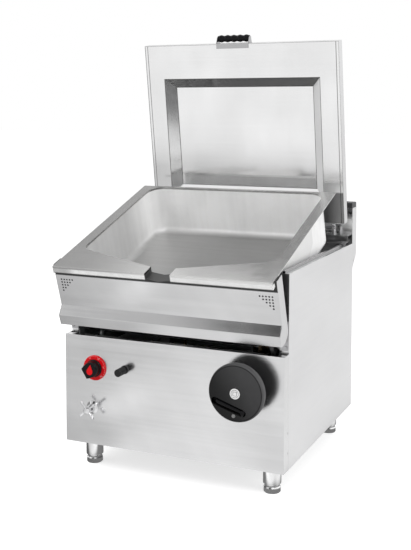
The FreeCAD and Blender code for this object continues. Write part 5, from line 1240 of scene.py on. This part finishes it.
@dataclass
class Dial(Assembly):
    """Thermostat dial, pointer knob and the printed ticks and numbers on the ring."""

    middle: tuple[float, float] = (-283.0, 360.0)
    face: float = -6.0
    print_depth: float = 0.12
    tick_radius: float = 40.9
    tick_length: float = 2.2
    tick_width: float = 0.7
    ticks: int = 26
    number_radius: float = 36.6
    number_height: float = 4.2
    first_angle: float = 150.0
    first_number: float = 225.0
    sweep: float = 270.0
    numbers: tuple[str, ...] = ("0", "100", "150", "200", "250", "300")

    def build(self) -> None:
        """Make and dress every piece."""
        self.dressed("dial_ring", RED_GLOSS, None)
        self.dressed("thermostat_knob", BLACK_KNOB, Edging(fold=0.0, cut=0.6, shortest=0.8), 40.0)
        self.keep(RED_GLOSS, "knob_insert")
        self.tick_marks()
        self.number_marks()

    def tick_marks(self) -> None:
        """Printed ticks around the ring's edge."""
        recipe = Recipe("dial_ticks", {
            "Radius": self.tick_radius * MM, "Length": self.tick_length * MM,
            "Width": self.tick_width * MM, "Count": self.ticks,
            "Depth": 2.0 * self.print_depth * MM, "Sweep": math.radians(self.sweep)})
        radius, length, width, count, depth, sweep = recipe.sizes
        tree = recipe.tree
        bar = tree.node("GeometryNodeMeshCube", None, {"Size": tree.axes(length, depth, width)})
        row = tree.node("GeometryNodeMeshLine", None, {"Count": count, "Offset": (0.0, 0.0, 0.0)})
        turn = tree.node("GeometryNodeInputIndex") / (count - 1.0) * sweep
        out = recipe.moved(bar, tree.axes(x=radius))
        recipe.end(recipe.instances(row, out, tree.axes(y=turn)))
        first = Matrix.Rotation(math.radians(self.first_angle), 4, "Y")
        middle = Matrix.Translation(at(self.middle[0], self.face, self.middle[1]))
        self.piece("dial_ticks", recipe.grow_at(WHITE_MARK, middle @ first), "cabinet", "pale_metal")

    def number_marks(self) -> None:
        """Printed numbers between the knob and the ticks."""
        meshes = []
        for index, text in enumerate(self.numbers):
            turn = math.radians(self.first_number - self.sweep * index / (len(self.numbers) - 1))
            curve = bpy.data.curves.new("dial_number", "FONT")
            curve.body = text
            curve.size = self.number_height * MM
            curve.align_x = curve.align_y = "CENTER"
            curve.extrude = self.print_depth * MM
            mesh = plain_mesh(placed("dial_number", curve))
            x = self.middle[0] + self.number_radius * math.cos(turn)
            z = self.middle[1] + self.number_radius * math.sin(turn)
            upright = Matrix.Rotation(math.pi / 2.0, 4, "X")
            lean = Matrix.Rotation(math.pi / 2.0 - turn, 4, "Y")
            mesh.transform(Matrix.Translation(at(x, self.face, z)) @ lean @ upright)
            mesh.materials.clear()
            mesh.materials.append(WHITE_MARK.material())
            meshes.append(mesh)
        self.piece("dial_numbers", joined(meshes), "cabinet", "pale_metal")


@dataclass
class PanelFittings(Assembly):
    """Igniter button and water tap on the front panel."""

    def build(self) -> None:
        """Make and dress every piece."""
        self.dressed("igniter_button", BLACK_RIBBED, None, 30.0)
        self.keep(BLACK_SATIN, "igniter_barrel")
        self.dressed("tap_handle", SHADED_TAP_CHROME, None, 45.0)
        self.dressed("tap_escutcheon", SHADED_TAP_CHROME, None, 30.0)


@dataclass
class Supplies(Assembly):
    """Gas train and water line inside the cabinet, with threads on the two inlets."""

    thread_pitch: float = 1.8
    thread_depth: float = 0.55
    inlet_radius: float = 9.9
    inlet_from: float = 794.0
    inlet_to: float = 811.5
    inlets: tuple[tuple[float, float], ...] = ((-324.0, 180.0), (-293.0, 140.0))

    def build(self) -> None:
        """Make and dress every piece."""
        self.keep(CASTING, "gas_valve")
        self.keep(BRASS, "water_valve", "water_pipes")
        self.keep(ZINC, "gas_pipes", "gas_manifold", "burner_tray")
        self.keep(UPRIGHT_STEEL, "burner_tubes")
        self.threads()

    def threads(self) -> None:
        """Rings of thread on both inlet stubs."""
        recipe = Recipe("inlet_threads", {
            "Radius": self.inlet_radius * MM, "Depth": self.thread_depth * MM,
            "Count": int((self.inlet_to - self.inlet_from) / self.thread_pitch),
            "Pitch": self.thread_pitch * MM})
        radius, depth, count, pitch = recipe.sizes
        ring = recipe.swept(recipe.circle(40, radius), recipe.circle(8, depth))
        row = recipe.tree.node("GeometryNodeMeshLine", None, {
            "Count": count, "Offset": recipe.tree.axes(z=pitch)})
        recipe.end(recipe.moved(recipe.instances(row, ring), turn=(-math.pi / 2.0, 0.0, 0.0)))
        mesh = recipe.grow_at(BRASS, *(
            Matrix.Translation(at(x, self.inlet_from, z)) for x, z in self.inlets))
        self.piece("inlet_threads", mesh, "cabinet", "brass_fittings")


@dataclass
class LevellingFeet(Assembly):
    """Four levelling feet."""

    def build(self) -> None:
        """Make and dress every piece."""
        for name in sorted(frame["nodes"]):
            if name.startswith("foot_"):
                self.dressed(name, LEG_STEEL, None, 30.0)


def sheet(name: str, width: float, depth: float) -> bpy.types.Mesh:
    """Make a flat rectangle around the origin.

    Args:
        name: Name of the mesh.
        width: Its length along X.
        depth: Its length along Y.

    Returns:
        The mesh.
    """
    x, y = width / 2.0, depth / 2.0
    mesh = bpy.data.meshes.new(name)
    mesh.from_pydata([(-x, -y, 0.0), (x, -y, 0.0), (x, y, 0.0), (-x, y, 0.0)], [], [(0, 1, 2, 3)])
    return mesh


@dataclass(frozen=True)
class Lamp:
    """A soft lamp that looks at the object; with glints, polished metal mirrors it."""

    name: str
    place: tuple[float, float, float]
    width: float
    height: float
    watts: float
    glints: bool = False
    aim: tuple[float, float, float] = (0.0, 0.0, 0.7)

    def hang(self) -> None:
        """Put the lamp into the scene."""
        data = bpy.data.lights.new(self.name, "AREA")
        data.shape = "RECTANGLE"
        data.size, data.size_y = self.width, self.height
        data.energy = self.watts
        lamp = placed(self.name, data)
        lamp.location = self.place
        look = Vector(self.aim) - Vector(self.place)
        lamp.rotation_euler = look.to_track_quat("-Z", "Y").to_euler()
        lamp.visible_glossy = self.glints


@dataclass(frozen=True)
class Card:
    """A card that only polished metal sees, turned by angles in degrees."""

    name: str
    place: tuple[float, float, float]
    width: float
    depth: float
    tone: float
    turn: tuple[float, float, float] = (0.0, 0.0, 0.0)

    def hang(self) -> None:
        """Put the card into the scene."""
        mesh = sheet(self.name, self.width, self.depth)
        turn = Euler([math.radians(angle) for angle in self.turn])
        mesh.transform(Matrix.LocRotScale(Vector(self.place), turn, None))
        material = bpy.data.materials.new(self.name)
        tree = emptied(material)
        tree.node("ShaderNodeOutputMaterial", None, {"Surface": tree.glow(self.tone)})
        mesh.materials.append(material)
        card = placed(self.name, mesh)
        card.visible_camera = card.visible_diffuse = card.visible_shadow = False


LAMPS = (
    Lamp("key_lamp", (-3.2, -2.2, 3.6), 3.4, 3.0, 118.0),
    Lamp("side_lamp", (3.6, -0.6, 2.2), 2.0, 2.4, 62.0),
    Lamp("top_lamp", (0.2, 1.4, 3.8), 2.6, 1.6, 30.0),
    Lamp("glint_lamp", (1.9, -2.6, 2.9), 0.9, 0.5, 12.0, True),
)
CARDS = (
    Card("front_ceiling", (-0.35, -3.05, 3.1), 2.1, 2.0, 0.04),
    Card("front_ceiling_left", (-2.3, -3.05, 3.1), 1.8, 2.4, 0.66),
    Card("rear_ceiling_left", (-3.15, 3.2, 3.2), 2.0, 4.2, 0.60),
    Card("rear_ceiling_right", (-0.6, 3.2, 3.2), 3.1, 4.2, 0.90),
    Card("rear_flag", (-0.9, 3.8, 0.7), 3.6, 1.6, 0.25, (90.0, 0.0, 0.0)),
    Card("left_flag", (-4.2, -1.2, 1.3), 2.0, 2.6, 0.30, (90.0, 0.0, 90.0)),
    Card("right_flag", (4.0, -1.6, 1.6), 2.4, 3.2, 0.16, (90.0, 0.0, 90.0)),
)


@dataclass
class Studio:
    """Pale floor, soft lamps, cards for the steel to reflect, and the camera."""

    eye: tuple[float, float, float] = (1.3671, -3.1497, 1.2465)
    yaw: float = 23.911
    pitch: float = -4.095
    lens: float = 62.393
    shift: tuple[float, float] = (-0.0036, -0.18)
    farthest: float = 200.0
    floor_size: float = 80.0
    paper: float = 0.65
    paper_glow: float = 0.68
    sky_plain: float = 0.55
    left_fade: tuple[float, float] = (-1.3, -0.25)
    near_fade: tuple[float, float] = (-2.9, -2.3)
    corner_across: tuple[float, float] = (-0.5, -0.2)
    corner_along: tuple[float, float] = (-1.1, -0.75)
    shadow_across: tuple[float, ...] = (-1.5, -1.2, 0.38, 0.5)
    shadow_along: tuple[float, ...] = (-0.44, -0.36, 1.0, 1.4)
    glow_across: tuple[float, ...] = (-0.70, -0.57, -0.57, -0.44)
    glow_along: tuple[float, ...] = (-1.35, -1.15, -0.95, -0.8)
    streak_angle: float = 0.5
    streak_stretch: tuple[float, float, float] = (3.6, 0.8, 1.0)

    def build(self) -> None:
        """Make the camera, the floor, the world, the lamps and the cards."""
        scene = bpy.context.scene
        scene.view_settings.view_transform = "Standard"
        self.camera(scene)
        self.floor()
        self.world(scene)
        for hung in (*LAMPS, *CARDS):
            hung.hang()

    def camera(self, scene: bpy.types.Scene) -> None:
        """Stand the camera where the photograph was taken from.

        Args:
            scene: The scene that gets the camera.
        """
        data = bpy.data.cameras.new("camera")
        data.lens = self.lens
        data.shift_x, data.shift_y = self.shift
        data.clip_end = self.farthest
        yaw, pitch = math.radians(self.yaw), math.radians(self.pitch)
        level = math.cos(pitch)
        look = Vector((-math.sin(yaw) * level, math.cos(yaw) * level, math.sin(pitch)))
        scene.camera = placed("camera", data)
        scene.camera.location = self.eye
        scene.camera.rotation_mode = "QUATERNION"
        scene.camera.rotation_quaternion = look.to_track_quat("-Z", "Y")

    @staticmethod
    def seen(tree: Tree) -> Sock:
        """1 for rays from the camera and for those that metal or glass sends on."""
        path = tree.node("ShaderNodeLightPath", output="Is Camera Ray")
        return path.at_least(path.of("Is Glossy Ray")).at_least(path.of("Is Transmission Ray"))

    def floor(self) -> None:
        """Lay a pale floor that looks white, keeps a soft shadow and shows metal painted light and
        shade with soft streaks.
        """
        mesh = sheet("studio_floor", self.floor_size, self.floor_size)
        material = bpy.data.materials.new("studio_paper")
        tree = emptied(material)
        paper = tree.node("ShaderNodeBsdfDiffuse", None, {"Color": tree.solid([self.paper] * 3)})
        glow = tree.glow(self.seen(tree) * self.paper_glow)
        plain = tree.node("ShaderNodeAddShader", None, {0: paper, 1: glow})
        mirrored = tree.glow(self.mirror_tone(tree))
        glossy = tree.node("ShaderNodeLightPath", output="Is Glossy Ray")
        mixed = tree.node("ShaderNodeMixShader", None, {"Fac": glossy, 1: plain, 2: mirrored})
        tree.node("ShaderNodeOutputMaterial", None, {"Surface": mixed})
        mesh.materials.append(material)
        placed("studio_floor", mesh)

    def mirror_tone(self, tree: Tree) -> Sock:
        """How bright the floor looks to metal: painted shade to the left, nearer the object and at a
        corner, a painted shadow under the object, a painted bright patch and streaks.

        Args:
            tree: Tree of the floor's material.

        Returns:
            The strength.
        """
        place = tree.place()
        across = tree.node("ShaderNodeSeparateXYZ", None, {"Vector": place}, "X")
        along = across.of("Y")
        left, near = across.below(*self.left_fade), along.eased(*self.near_fade)
        # Painted shadow under the object, painted shade and a painted bright patch, as metal sees them.
        under = across.band(*self.shadow_across) * along.band(*self.shadow_along)
        corner = across.below(*self.corner_across) * along.eased(*self.corner_along)
        glow = across.band(*self.glow_across) * along.band(*self.glow_along)
        slanted = tree.turned(place, (0.0, 0.0, self.streak_angle))
        cloud = tree.noise(tree.stretch(slanted, self.streak_stretch), 1.0, 3.0, 0.55) - 0.5
        tone = 1.0 - 0.24 * left * near - 0.08 * near - 0.24 * corner + 0.36 * glow + 0.7 * cloud
        return tone * (1.0 - 0.8 * under)

    def world(self, scene: bpy.types.Scene) -> None:
        """Surround the stage with plain light that shows white to the camera and to metal.

        Args:
            scene: The scene that gets the world.
        """
        scene.world = bpy.data.worlds.new("studio")
        tree = emptied(scene.world)
        plain, bright = (tree.node("ShaderNodeBackground", None, {"Color": WHITE, "Strength": strength})
                         for strength in (self.sky_plain, 1.0))
        mixed = tree.node("ShaderNodeMixShader", None, {"Fac": self.seen(tree), 1: plain, 2: bright})
        tree.node("ShaderNodeOutputWorld", None, {"Surface": mixed})


def main() -> None:
    """Build every sub-assembly and report its pieces."""
    logging.basicConfig(level=logging.INFO, format="%(message)s")
    Studio().build()
    for assembly in (Cabinet(), Chassis(), Flue(), Pan(), Lid(), TiltDrive(), Dial(), PanelFittings(),
                     Supplies(), LevellingFeet()):
        assembly.build()
        LOG.info("%s has %d pieces", type(assembly).__name__, len(assembly.made))


if __name__ == "__main__":
    main()
